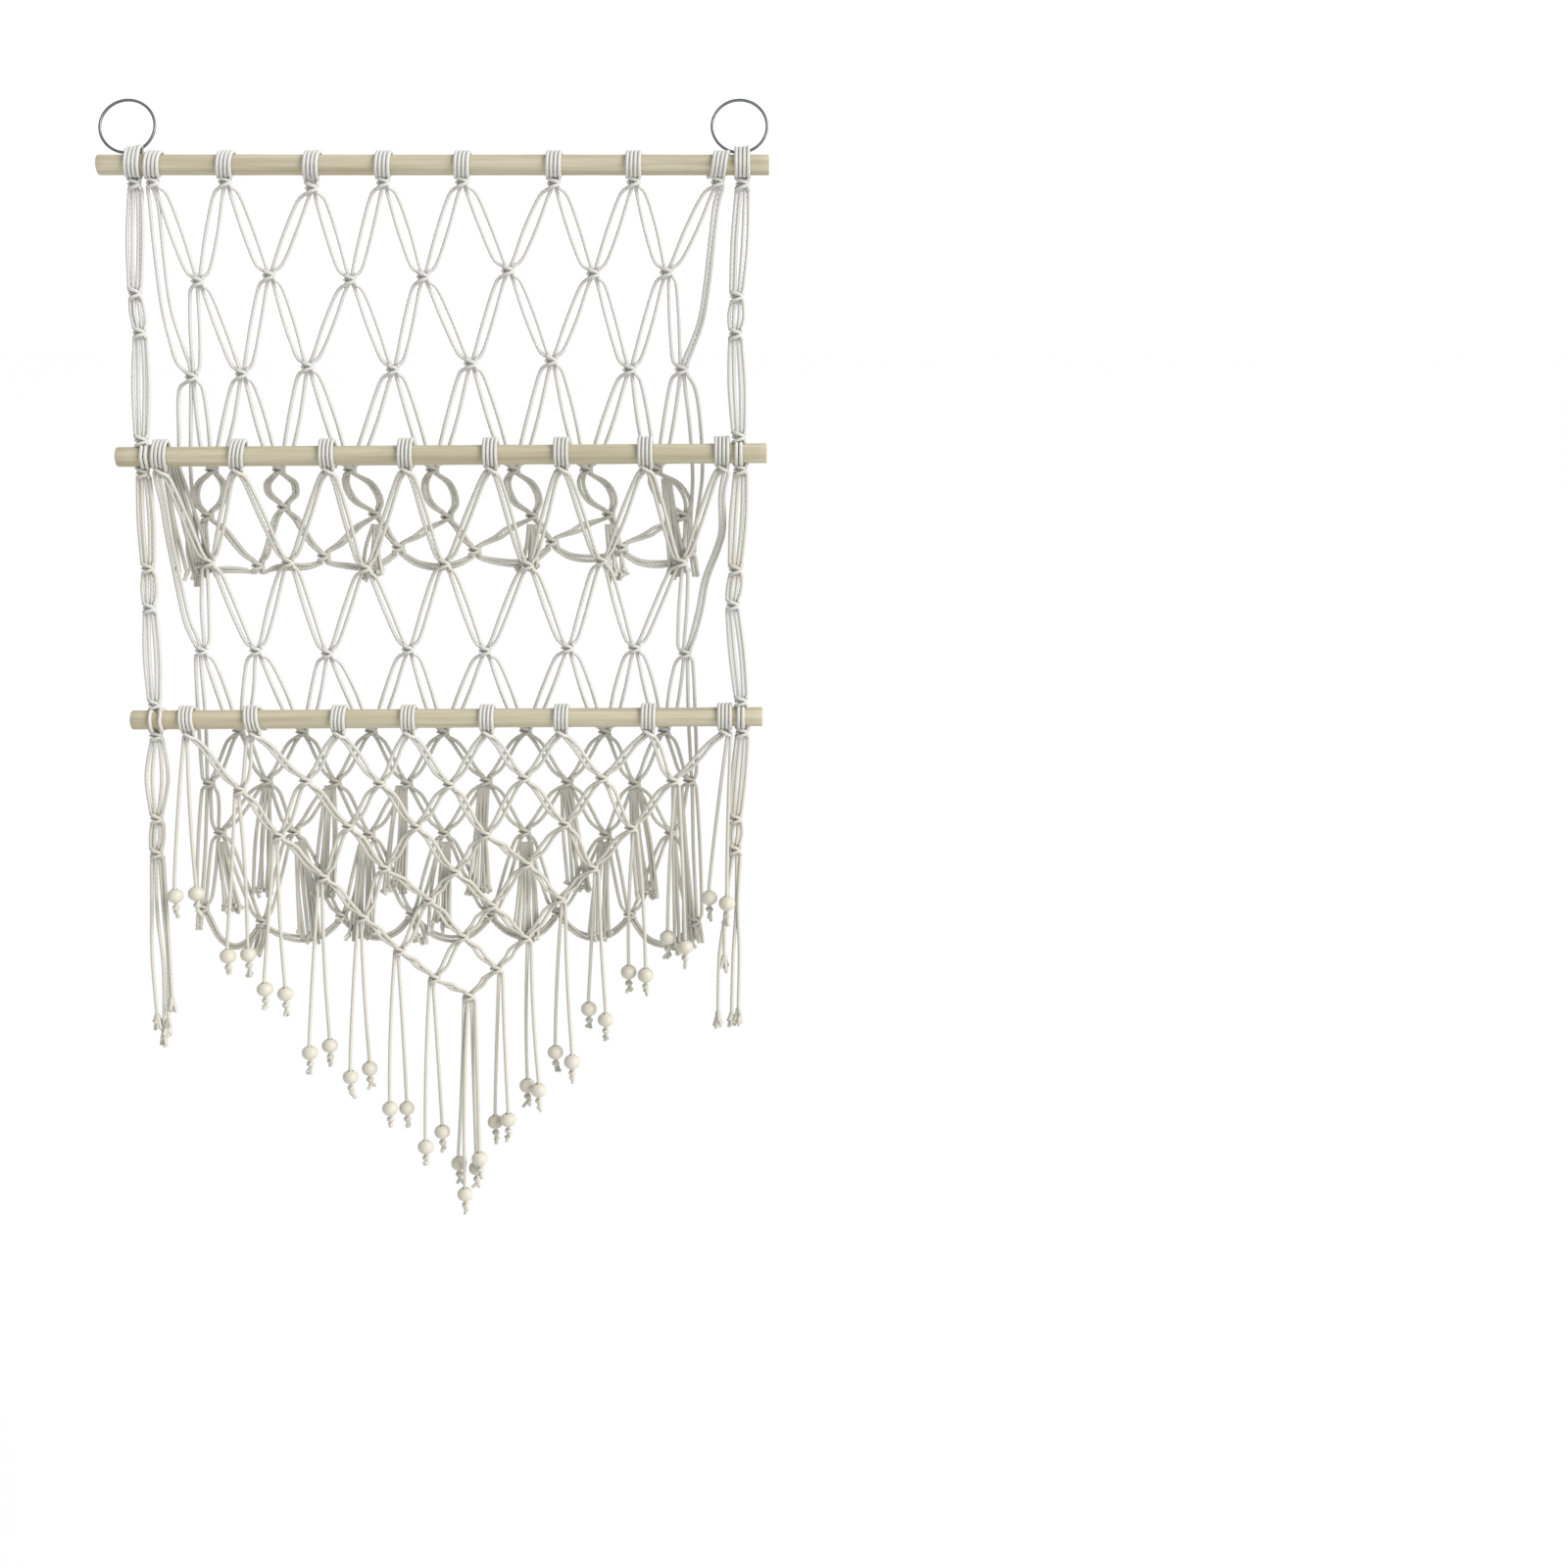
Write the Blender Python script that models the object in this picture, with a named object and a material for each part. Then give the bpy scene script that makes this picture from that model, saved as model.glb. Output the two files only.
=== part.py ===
"""Macrame wall hanging: three knotted cotton panels on three wooden dowels, hung from two steel rings.

The upper net hangs from the top dowel and passes behind the middle one. The middle net hangs from the
middle dowel and passes behind the bottom one. The pointed panel hangs from the bottom dowel and ends in
beaded cords. The slack of each net, in front of the one above, makes a pocket. Two side ropes tie the
dowels together.

Sizes in the tables are millimetres. "across" is +X, to the right. "drop" is down from the inner top of
the rings. "depth" is +Y, towards the wall, from the dowels' axes.
"""

import math
from collections import namedtuple

import bmesh
import bpy
from mathutils import Matrix, Vector

MM = 0.001

# Dowels and rings
DOWEL_LENGTH = 450.0
DOWEL_RADIUS = 6.8
DOWEL_SIDES = 22
DOWEL_Y = -16.0  # the dowels' axes, in front of the rings' tops
RING_RADIUS = 18.5  # to the middle of the wire
WIRE_RADIUS = 1.0
RING_SIDES = 20
RING_LEAN = math.radians(20.0)  # the rings lean back from the dowel to the wall
RING_SEAT = (3.0, 8.2)  # the wire's lowest point: depth, and height over the top dowel's axis

# Cords
CORD_RADIUS = 1.45  # to the corners of a three-sided cord
PAIR_WIDTH = 4.8  # two cords drawn tight side by side
CORD_DEPTH = 2.7
CORD_GAP = 0.3  # between a cord and what it goes round
WRAP_SIDES = 8
WRAP_INNER = 7.75
WRAP_OUTER = 10.3
WRAP_WIDTH = 11.4  # four cords side by side
NARROW_WRAP = 3.0  # one cord of a side rope

# Square knots
KNOT_WIDTH = 12.8
KNOT_HEIGHT = 8.0
KNOT_DEPTH = 5.5
ROPE_KNOT_WIDTH = 11.4
HALF_KNOT_HEIGHT = 5.5  # a single half knot, under a group of the middle net or the pointed panel
SUNK = 0.8  # a cord's end goes this far into its knot
LONG_WRAP = 0.9  # a group whose knot hangs lower than this into its wraps runs down to the knot
CORDS_AT = (1.6, 4.65)  # the two cords of a leg, from the knot's middle
PAIR_AT = 3.1
LEG_SPREAD = 3.0  # each cord of a leg bows out this far at mid length

# Beads
BEAD_RADIUS = 6.0
BEAD_SIDES = 7
BORE_RADIUS = 2.1
BEAD_KNOT = 1.75  # the stopper knot's size, as a multiple of the cord
BEAD_TAIL = 15.0  # from a bead's middle to its cord's end

Dowel = namedtuple("Dowel", "name across drop left_lower")
DOWELS = (
    Dowel("dowel_top", 0.0, 42.4, 0.0),
    Dowel("dowel_middle", -2.0, 234.6, 2.6),
    Dowel("dowel_bottom", -5.5, 420.3, 2.6),
)
TOP, MIDDLE, BOTTOM = DOWELS

Row = namedtuple("Row", "name across drop")

# The wraps of each panel on its dowel: across, and how far each one's knot is under the dowel's axis
UPPER_GROUPS = (-188.4, -140.0, -82.0, -34.0, 19.0, 80.5, 134.0, 190.4)
UPPER_UNDER = (11.6, 11.2, 15.1, 11.6, 11.2, 12.1, 11.2, 11.2)
MIDDLE_GROUPS = (-197.0, -144.0, -81.0, -27.0, 32.0, 81.0, 139.0, 192.0)
MIDDLE_UNDER = (10.2,) * 8
LOWER_GROUPS = (-190.0, -143.0, -83.0, -33.0, 26.0, 76.0, 138.0, 192.6)
LOWER_UNDER = (10.8,) * 8

# The knots of each panel, row by row, as they were tied by hand: across, and drop
UPPER_ROWS = (
    Row("first", (-165, -116, -61, -11, 47, 105, 155), (118, 114, 117, 115, 111, 113, 112)),
    Row("second", (-176, -141, -95, -36, 18, 74, 128, 164), (182, 180, 175, 177, 173, 171, 177, 177)),
    Row("third", (-167, -120, -70, -12, 45, 96, 145), (246, 246, 246, 246, 246, 246, 246)),
    Row("fourth", (-172, -121, -54, -3, 57, 111, 164), (278, 278, 277, 279, 278, 277, 278)),
    Row("fifth", (-178, -138, -91, -38, 16, 71, 120, 168), (311, 313, 306, 300, 302, 296, 300, 304)),
)
MIDDLE_ROWS = (
    Row("first", (-171, -115, -61, -5, 54, 106, 162), (310, 310, 314, 311, 312, 309, 310)),
    Row("second", (-182, -143, -92, -34, 21, 80, 128, 164), (374, 374, 376, 373, 374, 372, 372, 376)),
    Row("third", (-160, -114, -64, -12, 48, 105, 148), (433, 434, 433, 434, 433, 434, 433)),
    Row("fourth", (-178, -124, -69, -14, 45, 104, 152), (509, 508, 510, 509, 508, 510, 509)),
    Row("fifth", (-194, -151, -92, -40, 18, 68, 121, 169), (566, 576, 572, 570, 571, 569, 571, 576)),
)
LOWER_ROWS = (
    Row("first", (-157, -111, -56, -6, 48, 104, 155), (473, 466, 468, 469, 464, 464, 466)),
    Row("second", (-132, -81, -32, 18, 76, 124), (508, 501, 501, 507, 499, 502)),
    Row("third", (-102, -57, -6, 47, 95), (540, 533, 536, 530, 533)),
    Row("fourth", (-75, -29, 20, 70), (571, 561, 562, 557)),
    Row("fifth", (-49, -2, 44), (597, 586, 587)),
    Row("sixth", (-24, 22), (618, 611)),
    Row("tip", (1,), (632,)),
)
UPPER_OPEN = 3  # rows in sight, each leg of two cords; below them each leg is a tight pair
MIDDLE_OPEN = 2

# How far each panel stands behind the dowels' axes, by drop
UPPER_DEPTH = ((56, -1.0), (205, 18.5), (262, 18.5), (312, 15.5), (340, 15.5))
MIDDLE_DEPTH = ((247, -3.0), (310, 9.0), (402, 18.0), (470, 18.0), (565, 15.5), (620, 15.5))
LOWER_DEPTH = ((434, -3.0), (550, 9.0), (830, 9.0))

# Loose ends tucked in a pocket: across and drop of the top, across and drop of the cut end
Tail = namedtuple("Tail", "across drop end_across end_drop")
UPPER_TAILS = (
    Tail(-186, 286, -183, 319),
    Tail(-176, 280, -177, 326),
    Tail(-53, 280, -57, 318),
    Tail(57, 280, 53, 312),
    Tail(112, 280, 116, 320),
)
MIDDLE_TAILS = (
    Tail(-151, 578, -158, 600),
    Tail(-120, 512, -116, 584),
    Tail(-72, 512, -78, 583),
    Tail(-38, 572, -34, 590),
    Tail(46, 512, 44, 584),
    Tail(103, 512, 98, 586),
    Tail(166, 578, 160, 600),
)
# The loops along a net's lower edge, between its last knots: the drop of each one's lowest point
UPPER_LOOPS = (316, 314, 314, 314, 311, 308, 312)
MIDDLE_LOOPS = (596, 590, 589, 590, 588, 589, 594)

# The beaded cords: row of the knot they leave (0 is the dowel), side, and each bead's across, drop and depth
Beads = namedtuple("Beads", "row side across drop depth")
BEADS = (
    Beads(0, -1, (-206.5, -193.0), (550, 550), (-8.0, -2.0)),
    Beads(1, -1, (-172.5, -159.5), (597, 598), (-4.0, 3.0)),
    Beads(2, -1, (-148.0, -135.0), (624, 630), (0.0, 7.0)),
    Beads(3, -1, (-118.5, -105.0), (675, 672), (3.5, 10.5)),
    Beads(4, -1, (-89.5, -76.5), (695, 691), (5.5, 12.5)),
    Beads(5, -1, (-61.0, -50.0), (720, 723), (5.0, 13.0)),
    Beads(6, -1, (-35.5, -24.0), (751, 742), (5.0, 13.0)),
    Beads(7, 0, (-12.5, -7.0, 0.8, 5.0), (768, 789, 772, 760), (13.5, 4.0, 13.5, 4.0)),
    Beads(6, 1, (16.5, 27.5), (734, 729), (13.0, 5.0)),
    Beads(5, 1, (41.5, 51.0), (705, 705), (13.5, 4.5)),
    Beads(4, 1, (63.5, 76.5), (678, 683), (12.5, 5.5)),
    Beads(3, 1, (89.5, 102.5), (643, 649), (10.5, 3.5)),
    Beads(2, 1, (120.0, 133.0), (613, 613), (7.0, 0.0)),
    Beads(1, 1, (149.5, 162.5), (585, 590), (3.0, -4.0)),
    Beads(0, 1, (180.5, 193.5), (553, 555), (-2.5, -10.0)),
)

# The side ropes: each knot's across and drop, from the top dowel to the fringe
Rope = namedtuple("Rope", "name across drop wraps fringe_across fringe_drop")
ROPES = (
    Rope(
        "rope_left",
        (-201.2, -206, -205, -209, -209.8, -211, -212, -213.5, -214, -218, -220),
        (54.8, 126, 152, 224.6, 247.0, 313, 341, 410.2, 432.8, 494, 520),
        ((-209.1,), (-217.6, -210.2)),
        (-229, -225, -221, -217),
        (646, 659, 650, 632),
    ),
    Rope(
        "rope_right",
        (207, 203, 202, 203.8, 204.8, 201, 199, 204.4, 205, 200, 199),
        (54.8, 128, 153, 222.1, 244.7, 314, 339, 407.8, 430.4, 494, 517),
        ((203.5,), (204.1,)),
        (186, 191, 196, 201),
        (643, 600, 645, 641),
    ),
)
ROPE_PAIRS = (-2.85, 2.85)
ROPE_CORDS = (-4.2, -1.4, 1.4, 4.2)
ROPE_CORD_WIDTH = 2.5
RING_ACROSS = (-206.5, 205.0)


def start_scene():
    for old in list(bpy.data.objects):
        bpy.data.objects.remove(old, do_unlink=True)
    parts = bpy.data.collections.new("Macrame wall hanging")
    cutters = bpy.data.collections.new("Cutters")
    for collection in (parts, cutters):
        bpy.context.scene.collection.children.link(collection)
    return parts, cutters


def material(name, colour, roughness, metallic=0.0):
    made = bpy.data.materials.new(name)
    made.use_nodes = True
    shader = made.node_tree.nodes["Principled BSDF"]
    shader.inputs["Base Color"].default_value = (*colour, 1.0)
    shader.inputs["Roughness"].default_value = roughness
    shader.inputs["Metallic"].default_value = metallic
    made.diffuse_color = (*colour, 1.0)
    return made


def point(across, drop, depth):
    return Vector((across, DOWEL_Y + depth, -drop)) * MM


def depth_at(profile, drop):
    """A panel's depth at a drop, along its hand-set profile."""
    before = profile[0]
    for after in profile:
        if drop <= after[0]:
            if after[0] == before[0]:
                return after[1]
            share = (drop - before[0]) / (after[0] - before[0])
            return before[1] + share * (after[1] - before[1])
        before = after
    return before[1]


def on_panel(profile, across, drop):
    return point(across, drop, depth_at(profile, drop))


def dowel_drop(dowel, across):
    """The drop of a dowel's axis. One dowel hangs a little lower at its left end."""
    return dowel.drop - dowel.left_lower * (across - dowel.across) / DOWEL_LENGTH


def add_object(collection, name, mesh, surface=None):
    made = bpy.data.objects.new(name, mesh)
    collection.objects.link(made)
    if surface is not None:
        mesh.materials.append(surface)
    return made


def mesh_of(name, bm):
    bmesh.ops.recalc_face_normals(bm, faces=bm.faces)
    mesh = bpy.data.meshes.new(name)
    bm.to_mesh(mesh)
    bm.free()
    return mesh


def add_dowel(parts, dowel, surface):
    bm = bmesh.new()
    turn = Matrix.Rotation(math.radians(90), 4, "Y")
    bmesh.ops.create_cone(
        bm,
        cap_ends=True,
        segments=DOWEL_SIDES,
        radius1=DOWEL_RADIUS * MM,
        radius2=DOWEL_RADIUS * MM,
        depth=DOWEL_LENGTH * MM,
        matrix=turn,
    )
    made = add_object(parts, dowel.name, mesh_of(dowel.name, bm), surface)
    made.location = point(dowel.across, dowel.drop, 0.0)
    made.rotation_euler.y = -math.atan2(dowel.left_lower, DOWEL_LENGTH)
    made.data.shade_smooth()
    made.data.set_sharp_from_angle(angle=math.radians(40))


def add_ring(parts, name, across, surface):
    """A wire ring that leans back from the top dowel, its lowest point just clear of the wood."""
    bpy.ops.mesh.primitive_torus_add(
        major_radius=RING_RADIUS * MM,
        minor_radius=WIRE_RADIUS * MM,
        major_segments=RING_SIDES,
        minor_segments=5,
    )
    made = bpy.context.object
    made.name = name
    made.data.name = name
    made.data.materials.append(surface)
    for collection in made.users_collection:
        collection.objects.unlink(made)
    parts.objects.link(made)
    depth, height = RING_SEAT
    middle = point(across, TOP.drop - height, depth)
    up = Vector((0.0, math.sin(RING_LEAN), math.cos(RING_LEAN)))
    made.location = middle + up * RING_RADIUS * MM
    made.rotation_euler.x = math.radians(90) - RING_LEAN
    made.data.shade_smooth()


def section_curve():
    """The three-sided section that every bowed cord is swept with."""
    section = bpy.data.curves.new("cord section", "CURVE")
    section.dimensions = "2D"
    spline = section.splines.new("POLY")
    spline.points.add(2)
    spline.use_cyclic_u = True
    for i, corner in enumerate(spline.points):
        angle = 2 * math.pi * i / 3
        corner.co = (CORD_RADIUS * MM * math.cos(angle), CORD_RADIUS * MM * math.sin(angle), 0.0, 1.0)
    return section


def tubes(name, strands):
    """One mesh of three-sided cords, one for each strand: a list of (point, thickness) from end to end."""
    section = section_curve()
    guide = bpy.data.objects.new("cord section", section)
    bpy.context.scene.collection.objects.link(guide)
    curve = bpy.data.curves.new(name, "CURVE")
    curve.dimensions = "3D"
    curve.bevel_mode = "OBJECT"
    curve.bevel_object = guide
    curve.use_fill_caps = True
    for strand in strands:
        spline = curve.splines.new("POLY")
        spline.points.add(len(strand) - 1)
        for at, (where, thickness) in zip(spline.points, strand):
            at.co = (*where, 1.0)
            at.radius = thickness
    holder = bpy.data.objects.new(name, curve)
    bpy.context.scene.collection.objects.link(holder)
    evaluated = holder.evaluated_get(bpy.context.evaluated_depsgraph_get())
    mesh = bpy.data.meshes.new_from_object(evaluated)
    bpy.data.objects.remove(holder, do_unlink=True)
    bpy.data.objects.remove(guide, do_unlink=True)
    bpy.data.curves.remove(curve)
    bpy.data.curves.remove(section)
    bm = bmesh.new()
    bm.from_mesh(mesh)
    bpy.data.meshes.remove(mesh)
    bmesh.ops.remove_doubles(bm, verts=bm.verts, dist=1e-6)
    return bm


def strand(*points, thickness=1.0):
    return [(p, thickness) for p in points]


def knot_shape(ridged, width=KNOT_WIDTH, height=KNOT_HEIGHT):
    """A square knot as a short bar across, with two ridges in front where the cords wrap it."""
    outline = [(0.86, -1.0), (0.86, 1.0), (-0.86, 1.0), (-0.86, -1.0)]
    if ridged:
        outline = outline[:3] + [(-1.0, 0.6), (-0.7, 0.0), (-1.0, -0.6)] + outline[3:]
    bm = bmesh.new()
    ends = []
    for x in (-0.5, 0.5):
        ring = [
            bm.verts.new((x * width * MM, y * KNOT_DEPTH / 2 * MM, z * height / 2 * MM))
            for y, z in outline
        ]
        ends.append(ring)
        bm.faces.new(ring)
    for i in range(len(outline)):
        j = (i + 1) % len(outline)
        bm.faces.new((ends[0][i], ends[0][j], ends[1][j], ends[1][i]))
    return mesh_of("knot", bm)


def wrap_shape(width, lift_left=0.0, lift_right=0.0):
    """The cords of one group, side by side round a dowel. Lifts raise its top where it also holds a ring."""
    bm = bmesh.new()
    loops = []
    for x, lift in ((-width / 2, lift_left), (width / 2, lift_right)):
        for radius in (WRAP_INNER, WRAP_OUTER):
            loop = []
            for i in range(WRAP_SIDES):
                angle = 2 * math.pi * i / WRAP_SIDES
                y, z = radius * math.cos(angle), radius * math.sin(angle)
                z += lift * max(0.0, math.sin(angle))
                loop.append(bm.verts.new((x * MM, y * MM, z * MM)))
            loops.append(loop)
    inner_left, outer_left, inner_right, outer_right = loops
    for a, b in (
        (inner_left, outer_left),
        (outer_left, outer_right),
        (outer_right, inner_right),
        (inner_right, inner_left),
    ):
        for i in range(WRAP_SIDES):
            j = (i + 1) % WRAP_SIDES
            bm.faces.new((a[i], a[j], b[j], b[i]))
    return mesh_of("wrap", bm)


class Panel:
    """Collects a panel's cords, knots and wraps, and joins them into one solid."""

    def __init__(self, name):
        self.name = name
        self.pieces = []

    def add_strand(self, line):
        reach = Vector((1, 1, 1)) * max(t for _, t in line) * CORD_RADIUS * MM
        low = Vector(min(p[k] for p, _ in line) for k in range(3)) - reach
        high = Vector(max(p[k] for p, _ in line) for k in range(3)) + reach
        self.pieces.append((low, high, "strand", line))

    def add_bar(self, start, end, width):
        """A straight four-sided run, its width across the panel."""
        along = end - start
        across = along.cross(Vector((0, 1, 0))).normalized()
        if across.x < 0:
            across.negate()
        out = across.cross(along).normalized()
        size = Matrix.Diagonal((width * MM, CORD_DEPTH * MM, along.length, 1.0))
        turn = Matrix((across, out, along.normalized())).transposed().to_4x4()
        place = Matrix.Translation((start + end) / 2) @ turn @ size
        corners = [place @ Vector((x, y, z)) for x in (-0.5, 0.5) for y in (-0.5, 0.5) for z in (-0.5, 0.5)]
        low = Vector(min(c[k] for c in corners) for k in range(3))
        high = Vector(max(c[k] for c in corners) for k in range(3))
        self.pieces.append((low, high, "bar", place))

    def add_copy(self, mesh, place):
        corners = [v.co for v in mesh.vertices]
        low = Vector(min(c[k] for c in corners) for k in range(3)) + place
        high = Vector(max(c[k] for c in corners) for k in range(3)) + place
        self.pieces.append((low, high, "copy", (mesh, place)))

    def groups(self):
        """The pieces in groups whose members keep clear of each other."""
        found = []
        for piece in self.pieces:
            low, high = piece[0], piece[1]
            for group in found:
                if all(
                    any(low[k] > other[1][k] or high[k] < other[0][k] for k in range(3))
                    for other in group
                ):
                    group.append(piece)
                    break
            else:
                found.append([piece])
        return found

    def mesh(self, name, group):
        bm = tubes(name, [p[3] for p in group if p[2] == "strand"])
        for _, _, kind, what in group:
            if kind == "bar":
                bmesh.ops.create_cube(bm, size=1.0, matrix=what)
            if kind == "copy":
                shape, place = what
                moved = shape.copy()
                moved.transform(Matrix.Translation(place))
                bm.from_mesh(moved)
                bpy.data.meshes.remove(moved)
        return mesh_of(name, bm)

    def build(self, parts, cutters, surface):
        groups = self.groups()
        made = add_object(parts, self.name, self.mesh(self.name, groups[0]), surface)
        for i, group in enumerate(groups[1:]):
            name = f"{self.name}_cords_{i + 1:02d}"
            joined = add_object(cutters, name, self.mesh(name, group))
            joined.hide_render = True
            joined.display_type = "WIRE"
            union = made.modifiers.new(name, "BOOLEAN")
            union.operation = "UNION"
            union.solver = "EXACT"
            union.object = joined
        return made


def sunk(end, beyond):
    """A cord's end, moved on into its knot so that the two join."""
    return end + (end - beyond).normalized() * SUNK * MM


def run(panel, line, width=None):
    """Cords from one knot's face to another's, both ends sunk in. With a width, the run is straight."""
    line = [sunk(line[0], line[1])] + line[1:-1] + [sunk(line[-1], line[-2])]
    if width is None:
        panel.add_strand(strand(*line))
    else:
        panel.add_bar(line[0], line[-1], width)


def leg(panel, profile, start, end, double):
    """A leg of the net, from the foot of one knot to the head of the next, as two cords or a tight pair."""
    (x0, d0), (x1, d1) = start, end
    side = 1.0 if x1 > x0 else -1.0
    d0 += KNOT_HEIGHT / 2
    d1 -= KNOT_HEIGHT / 2
    if not double:
        a = on_panel(profile, x0 + side * PAIR_AT, d0)
        b = on_panel(profile, x1 - side * PAIR_AT, d1)
        run(panel, [a, b], PAIR_WIDTH)
        return
    inner, outer = CORDS_AT
    for near, far, bow in ((inner, outer, -side), (outer, inner, side)):
        xa, xb = x0 + side * near, x1 - side * far
        a = on_panel(profile, xa, d0)
        m = on_panel(profile, (xa + xb) / 2 + bow * (LEG_SPREAD - (outer - inner) / 2), (d0 + d1) / 2)
        b = on_panel(profile, xb, d1)
        run(panel, [a, m, b])


def straight_leg(panel, profile, start, end):
    """The four cords between two knots one under the other, as two tight pairs."""
    (x0, d0), (x1, d1) = start, end
    for offset in (-PAIR_AT, PAIR_AT):
        a = on_panel(profile, x0 + offset, d0 + KNOT_HEIGHT / 2)
        b = on_panel(profile, x1 + offset, d1 - KNOT_HEIGHT / 2)
        run(panel, [a, b], PAIR_WIDTH)


def hang_on_dowel(panel, dowel, groups, unders, profile, shapes):
    """Each group's wraps on the dowel and the knot under them. Returns the knots, each at the drop that a
    full square knot with the same foot would have."""
    wrap, knot = shapes
    height = max(v.co.z for v in knot.vertices) * 2 / MM
    knots = []
    for across, under in zip(groups, unders):
        axis = dowel_drop(dowel, across)
        panel.add_copy(wrap, point(across, axis, 0.0))
        place = on_panel(profile, across, axis + under)
        panel.add_copy(knot, place)
        if under - height / 2 > WRAP_OUTER - LONG_WRAP:
            panel.add_bar(on_panel(profile, across, axis + WRAP_OUTER - LONG_WRAP), place, 2 * PAIR_WIDTH)
        knots.append((across, axis + under - (KNOT_HEIGHT - height) / 2))
    return knots


def net_rows(panel, rows, knots, profile, shapes, ridged_rows, open_rows):
    """Alternating square knots. A row of seven is tied between the eight above, and a row of eight ties
    in the two outer cords that passed it by. A second row of seven ties the same cords again. Returns the
    last row's knots."""
    ridged, plain = shapes
    waiting = None
    for number, row in enumerate(rows):
        here = list(zip(row.across, row.drop))
        double = number < open_rows
        shape = ridged if number < ridged_rows else plain
        for across, drop in here:
            panel.add_copy(shape, on_panel(profile, across, drop))
        if len(here) < len(knots):
            for i, knot in enumerate(here):
                leg(panel, profile, knots[i], knot, double)
                leg(panel, profile, knots[i + 1], knot, double)
            waiting = (knots[0], knots[-1])
        elif len(here) == len(knots):
            for above, below in zip(knots, here):
                straight_leg(panel, profile, above, below)
        else:
            for i, knot in enumerate(knots):
                leg(panel, profile, knot, here[i], double)
                leg(panel, profile, knot, here[i + 1], double)
            if waiting is not None:
                outer_leg(panel, profile, waiting[0], here[0], -1)
                outer_leg(panel, profile, waiting[1], here[-1], 1)
        knots = here
    return knots


def crossed_row(panel, row, knots, ends, profile, shape):
    """A row of knots under one of the same number, its legs crossing half-way where the dowel hides them.
    The outer cords come straight from the ends of the row above both."""
    here = list(zip(row.across, row.drop))
    for across, drop in here:
        panel.add_copy(shape, on_panel(profile, across, drop))
    for i in range(len(here) - 1):
        leg(panel, profile, knots[i], here[i + 1], False)
        leg(panel, profile, knots[i + 1], here[i], False)
    outer_leg(panel, profile, ends[0], here[0], -1)
    outer_leg(panel, profile, ends[1], here[-1], 1)
    return here


def outer_leg(panel, profile, start, end, side):
    """The outer cords of a net, which pass one row by."""
    (x0, d0), (x1, d1) = start, end
    d0 += KNOT_HEIGHT / 2
    d1 -= KNOT_HEIGHT / 2
    for offset in CORDS_AT:
        a = on_panel(profile, x0 + side * offset, d0)
        m = on_panel(profile, 0.5 * (x0 + x1) + side * (offset * 1.6 - 1.0), (d0 + d1) / 2)
        b = on_panel(profile, x1 + side * offset, d1)
        run(panel, [a, m, b])


def edge_loops(panel, profile, knots, lows):
    """The loops between a net's last knots, which close the pocket."""
    for (x0, d0), (x1, d1), low in zip(knots, knots[1:], lows):
        a = on_panel(profile, x0 + PAIR_AT, d0 + KNOT_HEIGHT / 2)
        b = on_panel(profile, x0 + (x1 - x0) * 0.33, low)
        c = on_panel(profile, x0 + (x1 - x0) * 0.67, low)
        d = on_panel(profile, x1 - PAIR_AT, d1 + KNOT_HEIGHT / 2)
        run(panel, [a, b, c, d])


def loose_tails(panel, profile, tails):
    for tail in tails:
        a = on_panel(profile, tail.across, tail.drop)
        b = on_panel(profile, tail.end_across, tail.end_drop)
        panel.add_strand(strand(a, b, thickness=1.6))


def pointed_rows(panel, rows, knots, profile, shapes):
    """The pointed panel: each row has one knot less than the one above. Returns all rows of knots."""
    ridged, plain = shapes
    every = [knots]
    for number, row in enumerate(rows):
        here = list(zip(row.across, row.drop))
        for across, drop in here:
            panel.add_copy(ridged if number < 1 else plain, on_panel(profile, across, drop))
        for i, knot in enumerate(here):
            leg(panel, profile, knots[i], knot, False)
            leg(panel, profile, knots[i + 1], knot, False)
        every.append(here)
        knots = here
    return every


def beaded_cords(panel, profile, rows):
    """The cords that end each row of the pointed panel, each through a bead and tied off below it."""
    for beads in BEADS:
        row = rows[beads.row]
        x0, d0 = row[0] if beads.side < 0 else row[-1]
        offsets = (-4.7, -1.6) if beads.side < 0 else (1.6, 4.7)
        if beads.side == 0:
            offsets = (-4.7, -1.6, 1.6, 4.7)
        for offset, across, drop, depth in zip(offsets, beads.across, beads.drop, beads.depth):
            down = lambda below: point(across, drop + below, depth)
            foot = on_panel(profile, x0 + offset, d0 + KNOT_HEIGHT / 2)
            line = strand(sunk(foot, down(-9.0)), down(-9.0), down(6.4))
            line += [(down(8.3), BEAD_KNOT), (down(BEAD_TAIL), 0.8)]
            panel.add_strand(line)


def add_beads(parts, surface):
    """Turned wooden beads: a profile spun round the cord, with a bore."""
    number = 0
    for beads in BEADS:
        for across, drop, depth in zip(beads.across, beads.drop, beads.depth):
            number += 1
            name = f"bead_{number:02d}"
            made = add_object(parts, name, bead_shape(name), surface)
            made.location = point(across, drop, depth)


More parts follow.
